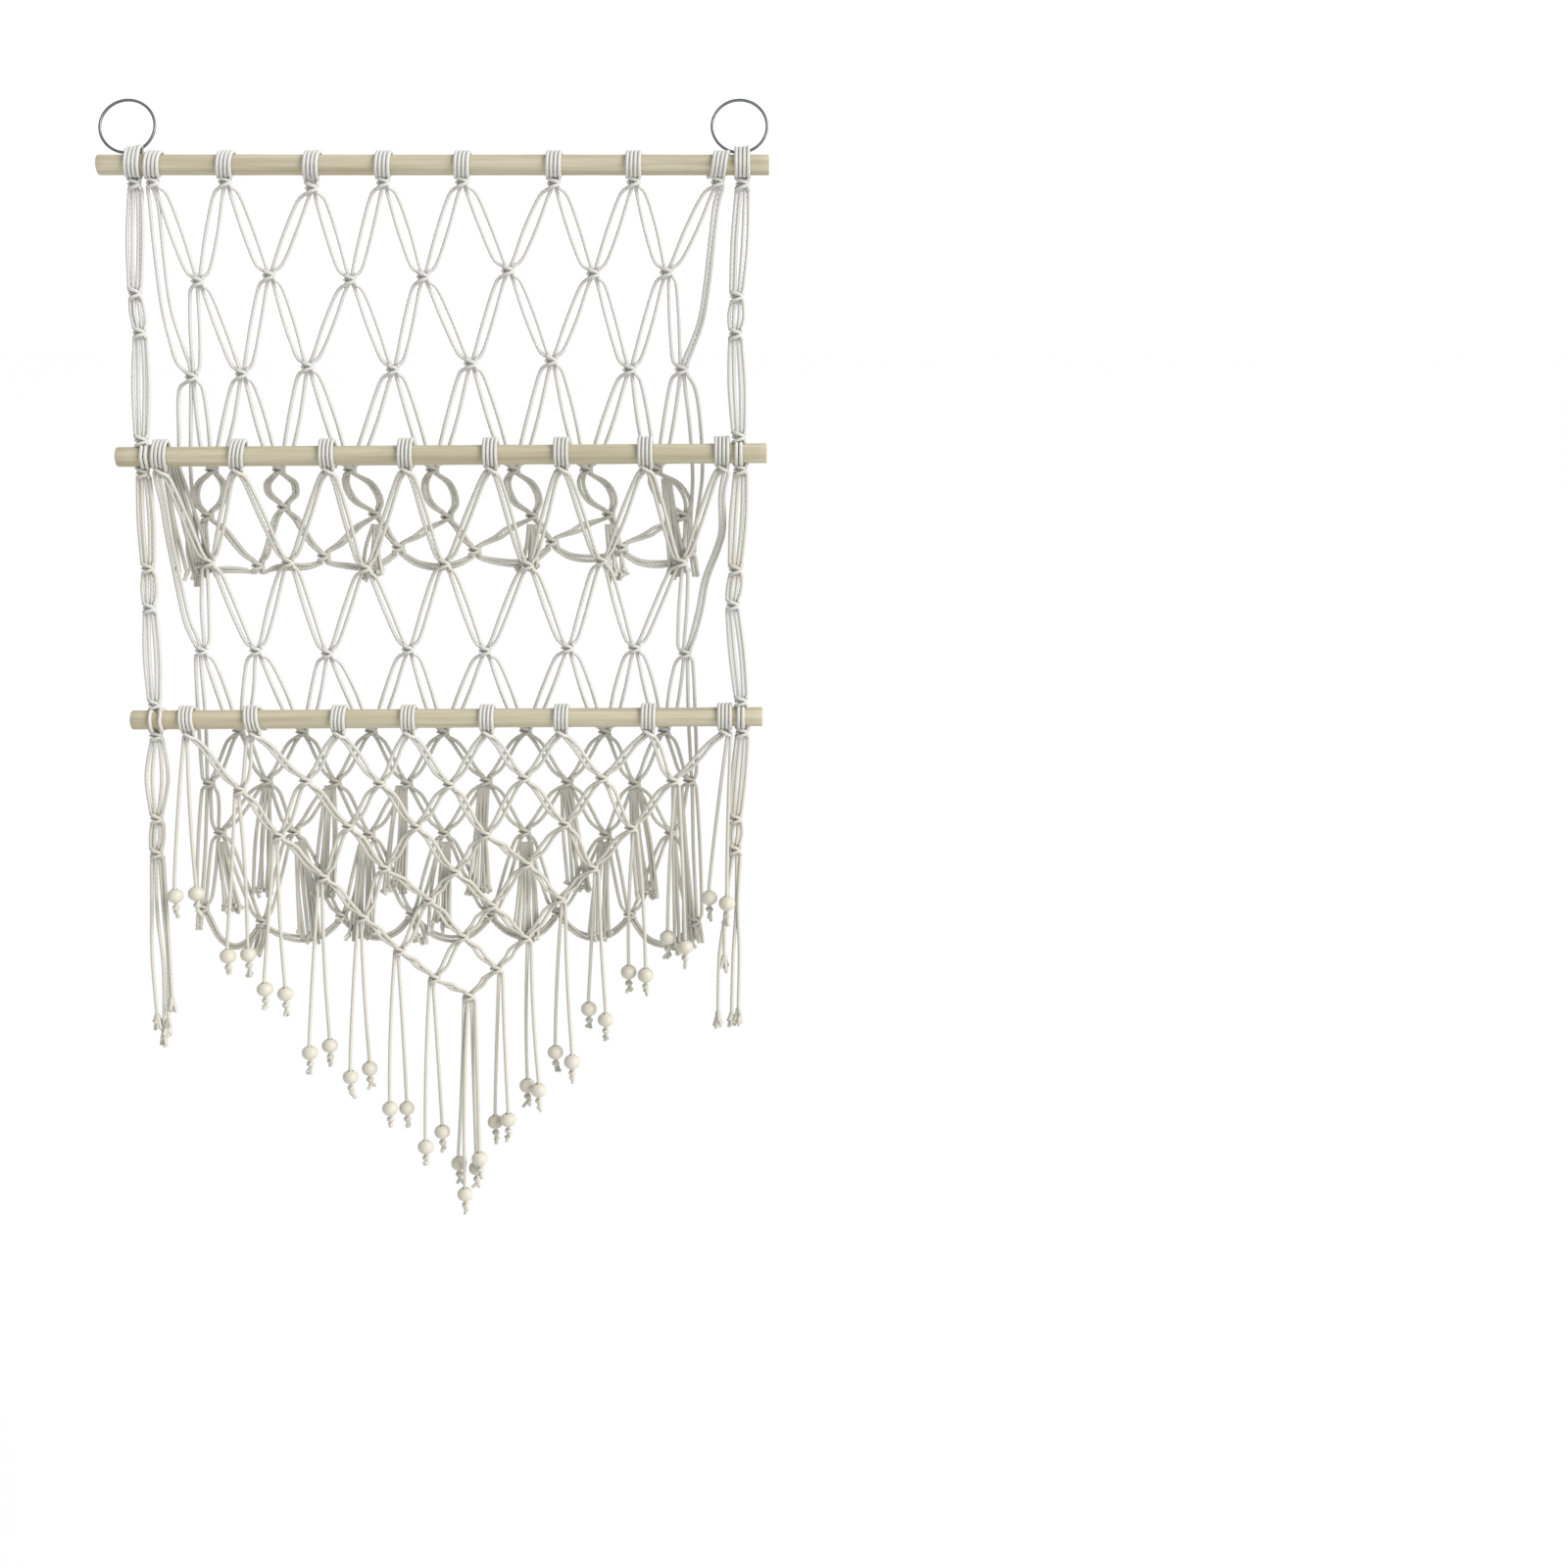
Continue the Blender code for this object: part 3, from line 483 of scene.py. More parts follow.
def cotton_finish(colours):
    """Undyed twisted cotton: creamy strands, shaded where they lie together, with fine fibres."""
    made = Surface("twisted cotton", 0.95, sheen=0.25, specular=0.2)
    where = made.place()
    cloudy = made.noise(where, 45.0, 2.0)
    flecks = made.noise(where, 900.0, 2.0, 0.7)
    groove = made.attribute("groove")
    base = made.mix(clamp01(cloudy * 1.6 - 0.3), colours.cotton, colours.cotton_warm)
    base = made.mix(clamp01(flecks * 1.4 - 0.55), base, colours.cotton_light)
    height = made.node("ShaderNodeSeparateXYZ", None, {0: where}, 2)
    # Creamier and darker from a drop of 400 mm down: partly the cord's own tone, partly painted shade
    low = clamp01((height + LOW_CREAM_AND_SHADE_FROM) / -LOW_CREAM_AND_SHADE_BY)
    # Painted shade on the band where the upper net is tucked in behind the middle dowel and net
    tucked = clamp01((height + TUCKED_SHADE_TO) / TUCKED_SHADE_BY) * clamp01((-TUCKED_SHADE_FROM - height) / TUCKED_SHADE_BY)
    low = clamp01(low + tucked * 0.8)
    # The lower stretches get their creamier colour with painted shade, and the tucked band gets its painted
    # shade
    base = made.mix(low * 0.75, base, colours.cotton_cream_and_shade)
    # Painted shade in the grooves between strands, deeper in the lower stretches and the tucked band
    shade = clamp01(groove * (0.12 + 0.2 * low))
    made.colour(made.mix(shade, base, colours.cotton_shade))
    fibres = made.noise(where, 2200.0, 2.0, 0.8)
    made.bump(fibres, 0.35, 0.0004)
    return made.material


def dowel_finish(colours):
    """Bare pale wood, its grain along the dowel."""
    made = Surface("bare pale wood", 0.62, specular=0.35)
    grain = made.noise(made.place((6.0, 240.0, 240.0)), 1.0, 4.0, 0.6)
    fine = made.noise(made.place((40.0, 1500.0, 1500.0)), 1.0, 2.0, 0.6)
    patches = made.noise(made.place((9.0, 40.0, 40.0)), 1.0, 2.0)
    dark, light = (0.30, colours.wood_dark), (0.62, colours.wood_light)
    base = made.ramp(grain, (dark, (0.48, colours.wood), light, (0.75, colours.wood)))
    base = made.mix(clamp01(fine * 2.2 - 1.05), base, colours.wood_dark)
    base = made.mix(clamp01(patches * 1.5 - 0.6) * 0.5, base, colours.wood_light)
    made.colour(base)
    made.rough(0.55 + 0.18 * grain)
    made.bump(grain + fine * 0.6, 0.18, 0.0004)
    return made.material


def bead_finish(colours):
    """Turned beads of pale close-grained wood."""
    made = Surface("cream turned wood", 0.45, specular=0.4)
    tone = made.noise(made.place((60.0, 60.0, 60.0)), 1.0, 1.0)
    grain = made.noise(made.place((700.0, 700.0, 120.0)), 1.0, 3.0, 0.6)
    base = made.mix(clamp01(tone * 1.4 - 0.2), colours.bead, colours.bead_warm)
    made.colour(made.mix(clamp01(grain * 2.0 - 1.0) * 0.6, base, colours.wood_dark))
    made.bump(grain, 0.12, 0.0003)
    return made.material


def steel_finish(colours):
    """Dull drawn steel wire."""
    made = Surface("drawn steel wire", 0.38, metallic=1.0)
    marks = made.noise(made.place(), 700.0, 3.0, 0.7)
    made.colour(made.mix(clamp01(marks * 1.6 - 0.4), colours.steel, colours.steel_dark))
    made.rough(0.3 + 0.25 * marks)
    return made.material


# ---- cord geometry

STRANDS = 3
STRAND_START = 1.7  # radians, from one cord's strands to the next one's
THIN_END = 0.8
FIBRE = (0.35, 0.3, 0.16)  # thickness of a loose fibre, from its root to its tip


def new_group(name, inputs):
    """A Geometry Nodes tree and its inputs, which are stated as name and kind."""
    tree = bpy.data.node_groups.new(name, "GeometryNodeTree")
    for label, kind in (("Geometry", "Geometry"), *inputs.items()):
        tree.interface.new_socket(label, in_out="INPUT", socket_type=f"NodeSocket{kind}")
    tree.interface.new_socket("Geometry", in_out="OUTPUT", socket_type="NodeSocketGeometry")
    graph = Tree(tree)
    given = tree.nodes.new("NodeGroupInput")
    return graph, {socket.name: Field(graph, socket) for socket in given.outputs if socket.name}


def close_group(graph, made, material):
    """Ends a tree in plain faces with their material."""
    made = graph.node("GeometryNodeRealizeInstances", None, {"Geometry": made})
    made = graph.node("GeometryNodeSetMaterial", None, {"Geometry": made, "Material": material})
    leave = graph.tree.nodes.new("NodeGroupOutput")
    graph.feed(leave.inputs[0], made)
    return graph.tree


def cord_group():
    """Geometry Nodes that lay a three-strand cord along every spline."""
    inputs = {"Radius": "Float", "Groove": "Float", "Lay": "Float", "Step": "Float", "Material": "Material"}
    graph, entry = new_group("Twisted cord", inputs)
    smooth = {"spline_type": "CATMULL_ROM"}
    line = graph.node("GeometryNodeCurveSplineType", smooth, {"Curve": entry["Geometry"]})
    line = graph.node("GeometryNodeSetSplineResolution", None, {"Geometry": line, "Resolution": 8})
    spacing = {"Curve": line, "Length": entry["Step"]}
    line = graph.node("GeometryNodeResampleCurve", {"mode": "LENGTH"}, spacing)
    along = graph.node("GeometryNodeSplineParameter", output=1)
    index = graph.node("GeometryNodeInputIndex")
    by_spline = {"domain": "CURVE", "data_type": "INT"}
    spline = graph.node("GeometryNodeFieldOnDomain", by_spline, {0: index})
    turn = along * (2.0 * math.pi / entry["Lay"]) + spline * STRAND_START
    line = graph.node("GeometryNodeSetCurveTilt", None, {"Curve": line, "Tilt": turn})

    corners = {"Resolution": 2 * STRANDS, "Radius": entry["Radius"]}
    section = graph.node("GeometryNodeCurvePrimitiveCircle", {"mode": "RADIUS"}, corners)
    groove = index % 2.0
    place = graph.node("GeometryNodeInputPosition")
    drawn_in = {0: place, "Scale": 1.0 - groove * entry["Groove"]}
    drawn_in = graph.node("ShaderNodeVectorMath", {"operation": "SCALE"}, drawn_in)
    section = graph.node("GeometryNodeSetPosition", None, {"Geometry": section, "Position": drawn_in})
    on_corners = {"data_type": "FLOAT", "domain": "POINT"}
    kept = {"Geometry": section, "Name": "groove", "Value": groove}
    section = graph.node("GeometryNodeStoreNamedAttribute", on_corners, kept)
    drawn = {"Curve": line, "Profile Curve": section, "Fill Caps": True}
    cord = graph.node("GeometryNodeCurveToMesh", None, drawn)
    cord = graph.node("GeometryNodeSetShadeSmooth", None, {"Geometry": cord})
    return close_group(graph, cord, entry["Material"])


def run_nodes(obj, tree, values):
    """Puts a node tree on an object, and gives back the plain mesh it makes."""
    change = obj.modifiers.new(tree.name, "NODES")
    change.node_group = tree
    for item in tree.interface.items_tree:
        if item.item_type == "SOCKET" and item.in_out == "INPUT" and item.name in values:
            change[item.identifier] = values[item.name]
    evaluated = obj.evaluated_get(bpy.context.evaluated_depsgraph_get())
    mesh = bpy.data.meshes.new_from_object(evaluated)
    obj.modifiers.remove(change)
    return mesh


class Cords:
    """The cords of one panel or rope, each a line of (place, thickness)."""

    def __init__(self, seed, thickness=1.0):
        self.lines = []
        self.chance = random.Random(seed)
        self.thickness = thickness

    def add(self, places, thin_end=False):
        line = [(point(*place), self.thickness) for place in places]
        if thin_end:
            line[-1] = (line[-1][0], self.thickness * THIN_END)
        self.lines.append(line)

    def fray(self, at, before, count, length):
        """The loose fibres at a cut end."""
        along = (Vector(at) - Vector(before)).normalized()
        for _ in range(count):
            side = Vector([self.chance.uniform(-1, 1) for _ in range(3)])
            root = Vector(at) - along * 2.0 + side * 0.7
            reach = length * self.chance.uniform(0.45, 1.0)
            middle = root + along * reach * 0.5 + side * 0.8
            tip = root + along * reach + side * 2.2
            self.lines.append([(point(*place), size) for place, size in zip((root, middle, tip), FIBRE)])

    def piece(self, name, sizes, finish, step):
        """Lays the cords as one mesh, with a ring of corners every step in millimetres."""
        curve = bpy.data.curves.new(name, "CURVE")
        curve.dimensions = "3D"
        for line in self.lines:
            spline = curve.splines.new("POLY")
            spline.points.add(len(line) - 1)
            for at, (where, thickness) in zip(spline.points, line):
                at.co = (*where, 1.0)
                at.radius = thickness
        holder = bpy.data.objects.new(name, curve)
        bpy.context.scene.collection.objects.link(holder)
        values = {
            "Radius": sizes.cord_diameter / 2,
            "Groove": sizes.groove,
            "Lay": sizes.lay_length,
            "Step": step * MM,
            "Material": finish,
        }
        tree = bpy.data.node_groups.get("Twisted cord") or cord_group()
        mesh = run_nodes(holder, tree, values)
        bpy.data.objects.remove(holder, do_unlink=True)
        bpy.data.curves.remove(curve)
        return link_mesh(name, mesh)


def link_mesh(name, mesh):
    mesh.name = name
    made = bpy.data.objects.new(name, mesh)
    bpy.context.scene.collection.objects.link(made)
    return made


Stop = namedtuple("Stop", "across drop slot apart edge bow", defaults=(TIGHT, (), 0.0))


def through_knot(stop, depth, half=False, first=True, last=True):
    """One cord's way through a square knot, or a half one, with a straight end where no leg joins it."""
    side = -1.0 if stop.slot < 2 else 1.0
    outer = stop.slot in (0, 3)
    reach = side * (SLOTS[3] if outer else TIGHT)
    turns = ((side * INNER_ACROSS, INNER_UP, 0.0), (side * INNER_ACROSS, -INNER_UP, 0.0))
    if outer and half:
        turns = HALF_BEHIND if stop.slot == 0 else HALF_FRONT
    elif outer:
        turns = IN_FRONT if stop.slot == 0 else BEHIND
    course = list(turns)
    if first:
        course.insert(0, (-reach if outer and half else reach, KNOT_REACH, 0.0))
    if last:
        course.append((reach, -KNOT_REACH, 0.0))
    return [(stop.across + x, stop.drop - up, depth - out) for x, up, out in course]


def over_dowel(dowel, across, rise, lean):
    """A cord's way up behind a dowel, over it and down in front. A rise takes it over a ring's wire."""
    course = []
    for degrees in WRAP_TURN:
        turn = math.radians(degrees)
        up = WRAP_RADIUS * math.sin(turn) + rise * max(0.0, math.cos(turn - RISE_AT)) ** 2
        in_front = (degrees - WRAP_FRONT) / (WRAP_TOP - WRAP_FRONT)
        behind = (WRAP_BACK - degrees) / (WRAP_BACK - WRAP_TOP)
        x = across + lean * min(in_front, behind)
        course.append((x, dowel_drop(dowel, x) - up, -WRAP_RADIUS * math.cos(turn)))
    return course


def leg(above, below, profile, chance):
    """The cord between two knots, one of a pair with half the pair's gap to its side."""
    sign = 1.0 if below.slot % 2 else -1.0
    if below.edge:
        return [(across + sign * gap, drop, depth_at(profile, drop)) for across, drop, gap in below.edge]
    start, end = [stop.across + (PAIR_REACH if stop.slot > 1 else -PAIR_REACH) for stop in (above, below)]
    fall = below.drop - above.drop
    apart = max(below.apart, TIGHT * math.hypot(1.0, (end - start) / fall))
    near = min(LEG_NEAR, LEG_CLEAR / fall)
    near_gap = 1.0 - (LEG_NEAR - near)
    bow = below.bow if below.slot > 1 else -below.bow
    course = []
    for share, gap in ((near, near_gap), (0.5, 1.0), (1.0 - near, near_gap)):
        across = start + (end - start) * share + sign * max(TIGHT, gap * apart)
        across += bow * math.sin(share * math.pi) + chance.uniform(-LEG_SWAY, LEG_SWAY)
        drop = above.drop + fall * share
        course.append((across, drop, depth_at(profile, drop)))
    return course


def knotted(cord, groups, rows, profile, chance):
    """One of a panel's cords over its dowel and through its knots, and its place and slot in the last."""
    group, slot = divmod(cord, KNOT_CORDS)
    across = groups.across[group]
    drop = dowel_drop(groups.dowel, across) + groups.under[group]
    stops = [Stop(across, drop, slot)]
    place = group
    for row in rows:
        at, at_slot = divmod(cord - 2 * (len(groups.across) - len(row.across)), KNOT_CORDS)
        if 0 <= at < len(row.across):
            edge = row.edges[cord >= PANEL_CORDS // 2] if cord in EDGE_CORDS else ()
            stops.append(Stop(row.across[at], row.drop[at], at_slot, row.apart, edge, row.bow))
            place = at
    crossed = groups.half and slot in (0, 3)
    from_top = SLOTS[3 - slot] if crossed else SLOTS[slot]
    course = over_dowel(groups.dowel, across + WRAP_SHARE * from_top, groups.rise, groups.lean[group])
    for number, stop in enumerate(stops):
        if number:
            course += leg(stops[number - 1], stop, profile, chance)
        half = groups.half and not number
        course += through_knot(stop, depth_at(profile, stop.drop), half, not number, stop is stops[-1])
    return course, place, stops[-1].slot


def net(cords, groups, rows, profile, loops):
    """Two-cord legs, square knots, and a row of loops along the lower edge."""
    bottom = rows[-1]
    for cord in range(PANEL_CORDS):
        course, place, slot = knotted(cord, groups, rows, profile, cords.chance)
        if slot >= 2 and place < len(loops):
            start = course[-1]
            end = (bottom.across[place + 1] + SLOTS[3 - slot], bottom.drop[place + 1] + KNOT_REACH)
            low = loops[place] + (TIGHT if slot == 2 else -TIGHT)
            low += cords.chance.uniform(-LOOP_SWAY, LOOP_SWAY)
            for share, sag in LOOP_SAG:
                across = start[0] + (end[0] - start[0]) * share
                level = start[1] + (end[1] - start[1]) * share
                course.append((across, level + (low - level) * sag, depth_at(profile, low)))
            course.append((end[0], end[1], depth_at(profile, end[1])))
        elif slot < 2 and place > 0:
            course.pop()
        else:
            side = -1 if cord < PANEL_CORDS // 2 else 1
            x, d, y = course[-1]
            course.append((x + side * SPARE_END[0], d + SPARE_END[1], y))
        cords.add(course)


def loose_tails(cords, tails, profile):
    """Bunches of loose ends, each strand bowed a little and frayed at its cut end."""
    for tail in tails:
        for strand in range(tail.strands):
            offset = (strand - (tail.strands - 1) / 2) * tail.spread
            end_drop = tail.end_drop + cords.chance.uniform(-TAIL_UNEVEN, TAIL_UNEVEN)
            sway = cords.chance.uniform(-TAIL_SWAY, TAIL_SWAY)
            top = (tail.across + offset * TAIL_TOP, tail.drop, depth_at(profile, tail.drop))
            forward = TAIL_FORWARD * abs(offset)
            end = (tail.end_across + offset, end_drop, depth_at(profile, end_drop) - forward)
            half_way = [(first + last) / 2 for first, last in zip(top, end)]
            middle = (half_way[0] + sway, half_way[1], half_way[2] - sway * 0.4)
            cords.add([top, middle, end])
            cords.fray(end, middle, 3, 4.0)


def pointed_panel(cords):
    """Rows that lose a knot each, two cords leaving at each side for the beads."""
    bead_of = {}
    for beads in BEADS:
        first = 2 * beads.row if beads.side <= 0 else PANEL_CORDS - 2 - 2 * beads.row
        for number, at in enumerate(zip(beads.across, beads.drop, beads.depth)):
            bead_of[first + number] = at
    for cord in range(PANEL_CORDS):
        course, _, _ = knotted(cord, LOWER_GROUPS, LOWER_ROWS, LOWER_DEPTH, cords.chance)
        beaded_end(cords, course, bead_of[cord])


def beaded_end(cords, course, bead):
    """Down to the bead, through it, and the stopper knot and tail below it."""
    x, d, y = bead
    x0, d0, y0 = course[-1]
    fall = d - BEAD_CLEAR - d0
    slack = cords.chance.uniform(-BEAD_SLACK, BEAD_SLACK)
    for share in (0.33, 0.7):
        bow = slack * math.sin(share * math.pi)
        course.append((x0 + (x - x0) * share + bow, d0 + fall * share, y0 + (y - y0) * share))
    course += [(x, d - BEAD_ENTRY, y), (x, d, y), (x, d + BEAD_EXIT, y)]
    course += [(x + across, d + drop, y + depth) for across, drop, depth in STOPPER]
    sway = cords.chance.uniform(-BEAD_TAIL_SWAY, BEAD_TAIL_SWAY)
    course.append((x + sway, d + BEAD_TAIL, y))
    cords.add(course, thin_end=True)
    cords.fray(course[-1], course[-2], 4, 3.0)


def ring_rise(across, ring):
    """How much higher a rope's cord goes, to pass over the ring's wire."""
    aside = min(abs(across - ring), RING_REACH)
    return WIRE_RISE + RING_RISE_SHARE * (RING_RADIUS - math.sqrt(RING_RADIUS * RING_RADIUS - aside * aside))


def rope_stretch(cords, rope, number, slot, start, end):
    """The middle of a side rope's cord between two knots, bowed out with its neighbours."""
    gap = end[1] - start[1]
    long = rope.bulge if number == BOTTOM_STRETCH else ROPE_BOW_LONG
    bow = ROPE_BOW[slot] * (ROPE_BOW_SHORT if gap < ROPE_SHORT else long)
    bow += cords.chance.uniform(-ROPE_SWAY, ROPE_SWAY)
    depth = cords.chance.uniform(-ROPE_DEPTH_SWAY, ROPE_DEPTH_SWAY)
    return ((start[0] + end[0]) / 2 + bow, (start[1] + end[1]) / 2, depth)


def side_rope(cords, rope):
    """Four cords over the top dowel, knotted at each place down the rope, and their fringe."""
    for slot in range(KNOT_CORDS):
        x = rope.across[0] + WRAP_SHARE * SLOTS[slot]
        course = over_dowel(TOP, x, ring_rise(x, rope.ring), rope.lean)
        for number, (across, drop) in enumerate(zip(rope.across, rope.drop)):
            if number:
                start = course[-1]
                end = (across + SLOTS[slot], drop - KNOT_REACH)
                passed = [i for i, dowel in enumerate((MIDDLE, BOTTOM)) if start[1] < dowel.drop < drop]
                if passed:
                    course += rope_past_dowel(rope, passed[0], slot)
                else:
                    course.append(rope_stretch(cords, rope, number, slot, start, end))
            course += through_knot(Stop(across, drop, slot), 0.0)
        x0, d0, _ = course[-1]
        x1, d1 = rope.fringe_across[slot], rope.fringe_drop[slot]
        for share in (0.3, 0.62):
            wave = cords.chance.uniform(-FRINGE_WAVE, FRINGE_WAVE)
            course.append((x0 + (x1 - x0) * share + wave, d0 + (d1 - d0) * share, wave * 0.5))
        course.append((x1, d1, 0.0))
        cords.add(course, thin_end=True)
        cords.fray(course[-1], course[-2], 10, 12.0)


def rope_past_dowel(rope, number, slot):
    """The two inner cords of a rope pass in front of a dowel and the two outer ones behind it."""
    dowel = (MIDDLE, BOTTOM)[number]
    side = -WRAP_RADIUS if slot in (1, 2) else WRAP_RADIUS
    x = rope.front[number][slot // 2]
    drop = dowel_drop(dowel, x)
    turns = [math.radians(degrees) for degrees in PAST_TURN]
    return [(x, drop + WRAP_RADIUS * math.sin(turn), side * math.cos(turn)) for turn in turns]


# ---- wood, wire and beads

MERGE = 1e-7
SHARP = math.radians(38)
DOWEL_SIDES = 64
DOWEL_STRETCHES = 60
DOWEL_ROUGH = (-0.07, 0.05)  # how far a dowel's radius strays
WORN_EDGE = ((0.0, 0.9), (0.25, 0.3), (0.9, 0.0))  # of a sawn end: in from the end, and off the radius
RING_SIDES = 72
WIRE_SIDES = 12
BEAD_SIDES = 28
BEAD_STEPS = 12
BEAD_BORE = 1.75
BEAD_FLAT = 0.9  # a bead's length to its diameter
BORE_EDGE = 0.45
BORE_REST = 0.8


def smooth_piece(name, bm, finish):
    mesh = bpy.data.meshes.new(name)
    bm.to_mesh(mesh)
    bm.free()
    mesh.shade_smooth()
    mesh.materials.append(finish)
    return link_mesh(name, mesh)


def turned(name, profile, segments, matrix, finish):
    """A round solid: a profile of (along, radius) in millimetres, spun round its axis."""
    bm = bmesh.new()
    corners = [bm.verts.new((x * MM, 0.0, r * MM)) for x, r in profile]
    edges = [bm.edges.new(pair) for pair in zip(corners, corners[1:])]
    turn = {"cent": (0, 0, 0), "axis": (1, 0, 0), "angle": 2 * math.pi, "steps": segments, "use_merge": True}
    bmesh.ops.spin(bm, geom=corners + edges, **turn)
    bmesh.ops.remove_doubles(bm, verts=bm.verts, dist=MERGE)
    bmesh.ops.recalc_face_normals(bm, faces=bm.faces)
    bmesh.ops.transform(bm, matrix=matrix, verts=bm.verts)
    made = smooth_piece(name, bm, finish)
    made.data.set_sharp_from_angle(angle=SHARP)
    return made


def dowel_piece(dowel, sizes, finish):
    """A dowel with worn sawn ends, very slightly uneven along its length."""
    half = sizes.dowel_length / MM / 2
    radius = sizes.dowel_diameter / MM / 2
    chance = random.Random(dowel.node)
    worn = [(half - inward, radius - off) for inward, off in WORN_EDGE]
    profile = [(-half, 0.0)] + [(-along, reach) for along, reach in worn]
    for i in range(1, DOWEL_STRETCHES):
        profile.append((-half + 2 * half * i / DOWEL_STRETCHES, radius + chance.uniform(*DOWEL_ROUGH)))
    profile += worn[::-1] + [(half, 0.0)]
    lean = Matrix.Rotation(math.atan2(dowel.left_lower, DOWEL_LENGTH), 4, "Y").inverted()
    place = Matrix.Translation(point(dowel.across, dowel.drop, 0.0)) @ lean
    return turned(f"{dowel.node}_wood", profile, DOWEL_SIDES, place, finish)


def ring_piece(name, across, sizes, finish):
    """A wire ring bent round and butted, its closing gap filed smooth."""
    bm = bmesh.new()
    depth, height = RING_SEAT
    up = Vector((0.0, math.sin(RING_LEAN), math.cos(RING_LEAN)))
    out = Vector((0.0, -math.cos(RING_LEAN), math.sin(RING_LEAN)))
    radius = sizes.ring_diameter / 2
    middle = point(across, TOP.drop - height, depth) + up * radius
    loops = []
    for i in range(RING_SIDES):
        turn = 2 * math.pi * i / RING_SIDES
        spoke = Vector((1.0, 0.0, 0.0)) * math.sin(turn) - up * math.cos(turn)
        loop = []
        for j in range(WIRE_SIDES):
            angle = 2 * math.pi * j / WIRE_SIDES
            wire = spoke * math.cos(angle) + out * math.sin(angle)
            loop.append(bm.verts.new(middle + spoke * radius + wire * sizes.wire_diameter / 2))
        loops.append(loop)
    for i in range(RING_SIDES):
        a, b = loops[i], loops[(i + 1) % RING_SIDES]
        for j in range(WIRE_SIDES):
            k = (j + 1) % WIRE_SIDES
            bm.faces.new((a[j], b[j], b[k], a[k]))
    bmesh.ops.recalc_face_normals(bm, faces=bm.faces)
    return smooth_piece(name, bm, finish)


def bead_group():
    """Geometry Nodes that thread a bead on every point, each a little different."""
    inputs = {"Bead": "Object", "Seed": "Int", "Material": "Material"}
    graph, entry = new_group("Threaded beads", inputs)
    shape = graph.node("GeometryNodeObjectInfo", None, {"Object": entry["Bead"]}, 4)
    vectors = {"data_type": "FLOAT_VECTOR"}
    tilts = {0: (-0.06, -0.06, 0.0), 1: (0.06, 0.06, 6.283), "Seed": entry["Seed"]}
    sizes = {0: (0.97, 0.97, 0.94), 1: (1.02, 1.02, 1.01), "Seed": entry["Seed"] + 3}
    threaded = {
        "Points": entry["Geometry"],
        "Instance": shape,
        "Rotation": graph.node("FunctionNodeRandomValue", vectors, tilts),
        "Scale": graph.node("FunctionNodeRandomValue", vectors, sizes),
    }
    beads = graph.node("GeometryNodeInstanceOnPoints", None, threaded)
    return close_group(graph, beads, entry["Material"])


def bead_shape(sizes):
    """A bead's turned form with its bore, standing on its axis."""
    radius = sizes.bead_diameter / MM / 2
    half = radius * BEAD_FLAT
    bore_end = half * 0.9
    profile = [(-bore_end, BEAD_BORE), (-half, BEAD_BORE + BORE_EDGE)]
    for i in range(1, BEAD_STEPS):
        turn = math.pi * i / BEAD_STEPS
        reach = max(BEAD_BORE + BORE_REST, radius * math.sin(turn) ** 0.8)
        profile.append((-half * math.cos(turn) * 0.97, reach))
    profile += [(half, BEAD_BORE + BORE_EDGE), (bore_end, BEAD_BORE), (-bore_end, BEAD_BORE)]
    return turned("bead_form", profile, BEAD_SIDES, Matrix.Rotation(math.radians(90), 4, "Y"), None)


# ---- settings and operators


def length(name, description, default):
    return bpy.props.FloatProperty(name=name, description=description, default=default, unit="LENGTH")


def paint(name, description, default):
    return bpy.props.FloatVectorProperty(
        name=name, description=description, default=default, size=3, subtype="COLOR", min=0.0, max=1.0
    )


class HangingSizes(bpy.types.PropertyGroup):
    """The sizes of the stock that the hanging is made from"""

    cord_diameter: length("Cord", "Diameter of the twisted cotton cord", 0.0029)
    lay_length: length("Lay", "Length of one full turn of the cord's three strands", 0.0105)
    groove: bpy.props.FloatProperty(
        name="Groove", description="Depth of the grooves between strands", default=0.08, subtype="FACTOR"
    )
    dowel_length: length("Dowel length", "Length of each dowel", 0.45)
    dowel_diameter: length("Dowel", "Diameter of each dowel", 0.0136)
    ring_diameter: length("Ring", "Diameter of a ring, to the middle of its wire", 0.037)
    wire_diameter: length("Wire", "Diameter of the rings' wire", 0.002)
    bead_diameter: length("Bead", "Diameter of a bead", 0.012)


class HangingColours(bpy.types.PropertyGroup):
    """The colours of its cord, wood and wire"""

    cotton: paint("Cotton", "Undyed cord", (0.67, 0.665, 0.645))
    cotton_warm: paint("Cotton, warm", "Creamier stretches of cord", (0.65, 0.635, 0.57))
    cotton_light: paint("Cotton, light", "Bleached flecks", (0.74, 0.74, 0.73))
    # Mixed into the lower stretches as creamier cord with painted shade, and into the tucked band as painted
    # shade
    cotton_cream_and_shade: paint("Cotton, creamier with painted shade", "Tucked and lower stretches of cord", (0.64, 0.62, 0.52))
    cotton_shade: paint("Cotton, shaded", "Between the strands", (0.40, 0.38, 0.32))
    wood: paint("Wood", "Dowels", (0.475, 0.43, 0.305))
    wood_light: paint("Wood, light", "Pale grain", (0.575, 0.53, 0.40))
    wood_dark: paint("Wood, dark", "Late grain", (0.38, 0.33, 0.225))
    bead: paint("Beads", "Pale turned wood", (0.61, 0.59, 0.52))
    bead_warm: paint("Beads, warm", "Warmer beads", (0.59, 0.55, 0.45))
    steel: paint("Steel", "Ring wire", (0.26, 0.27, 0.28))
    steel_dark: paint("Steel, dark", "Dull marks on the wire", (0.12, 0.12, 0.13))


def finish_of(name, maker, scene):
    return bpy.data.materials.get(name) or maker(scene.hanging_colours)


def take_over(obj, slot, *nodes):
    """The piece rides with the part and stands for its nodes."""
    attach(obj, "root")
    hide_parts(*nodes)


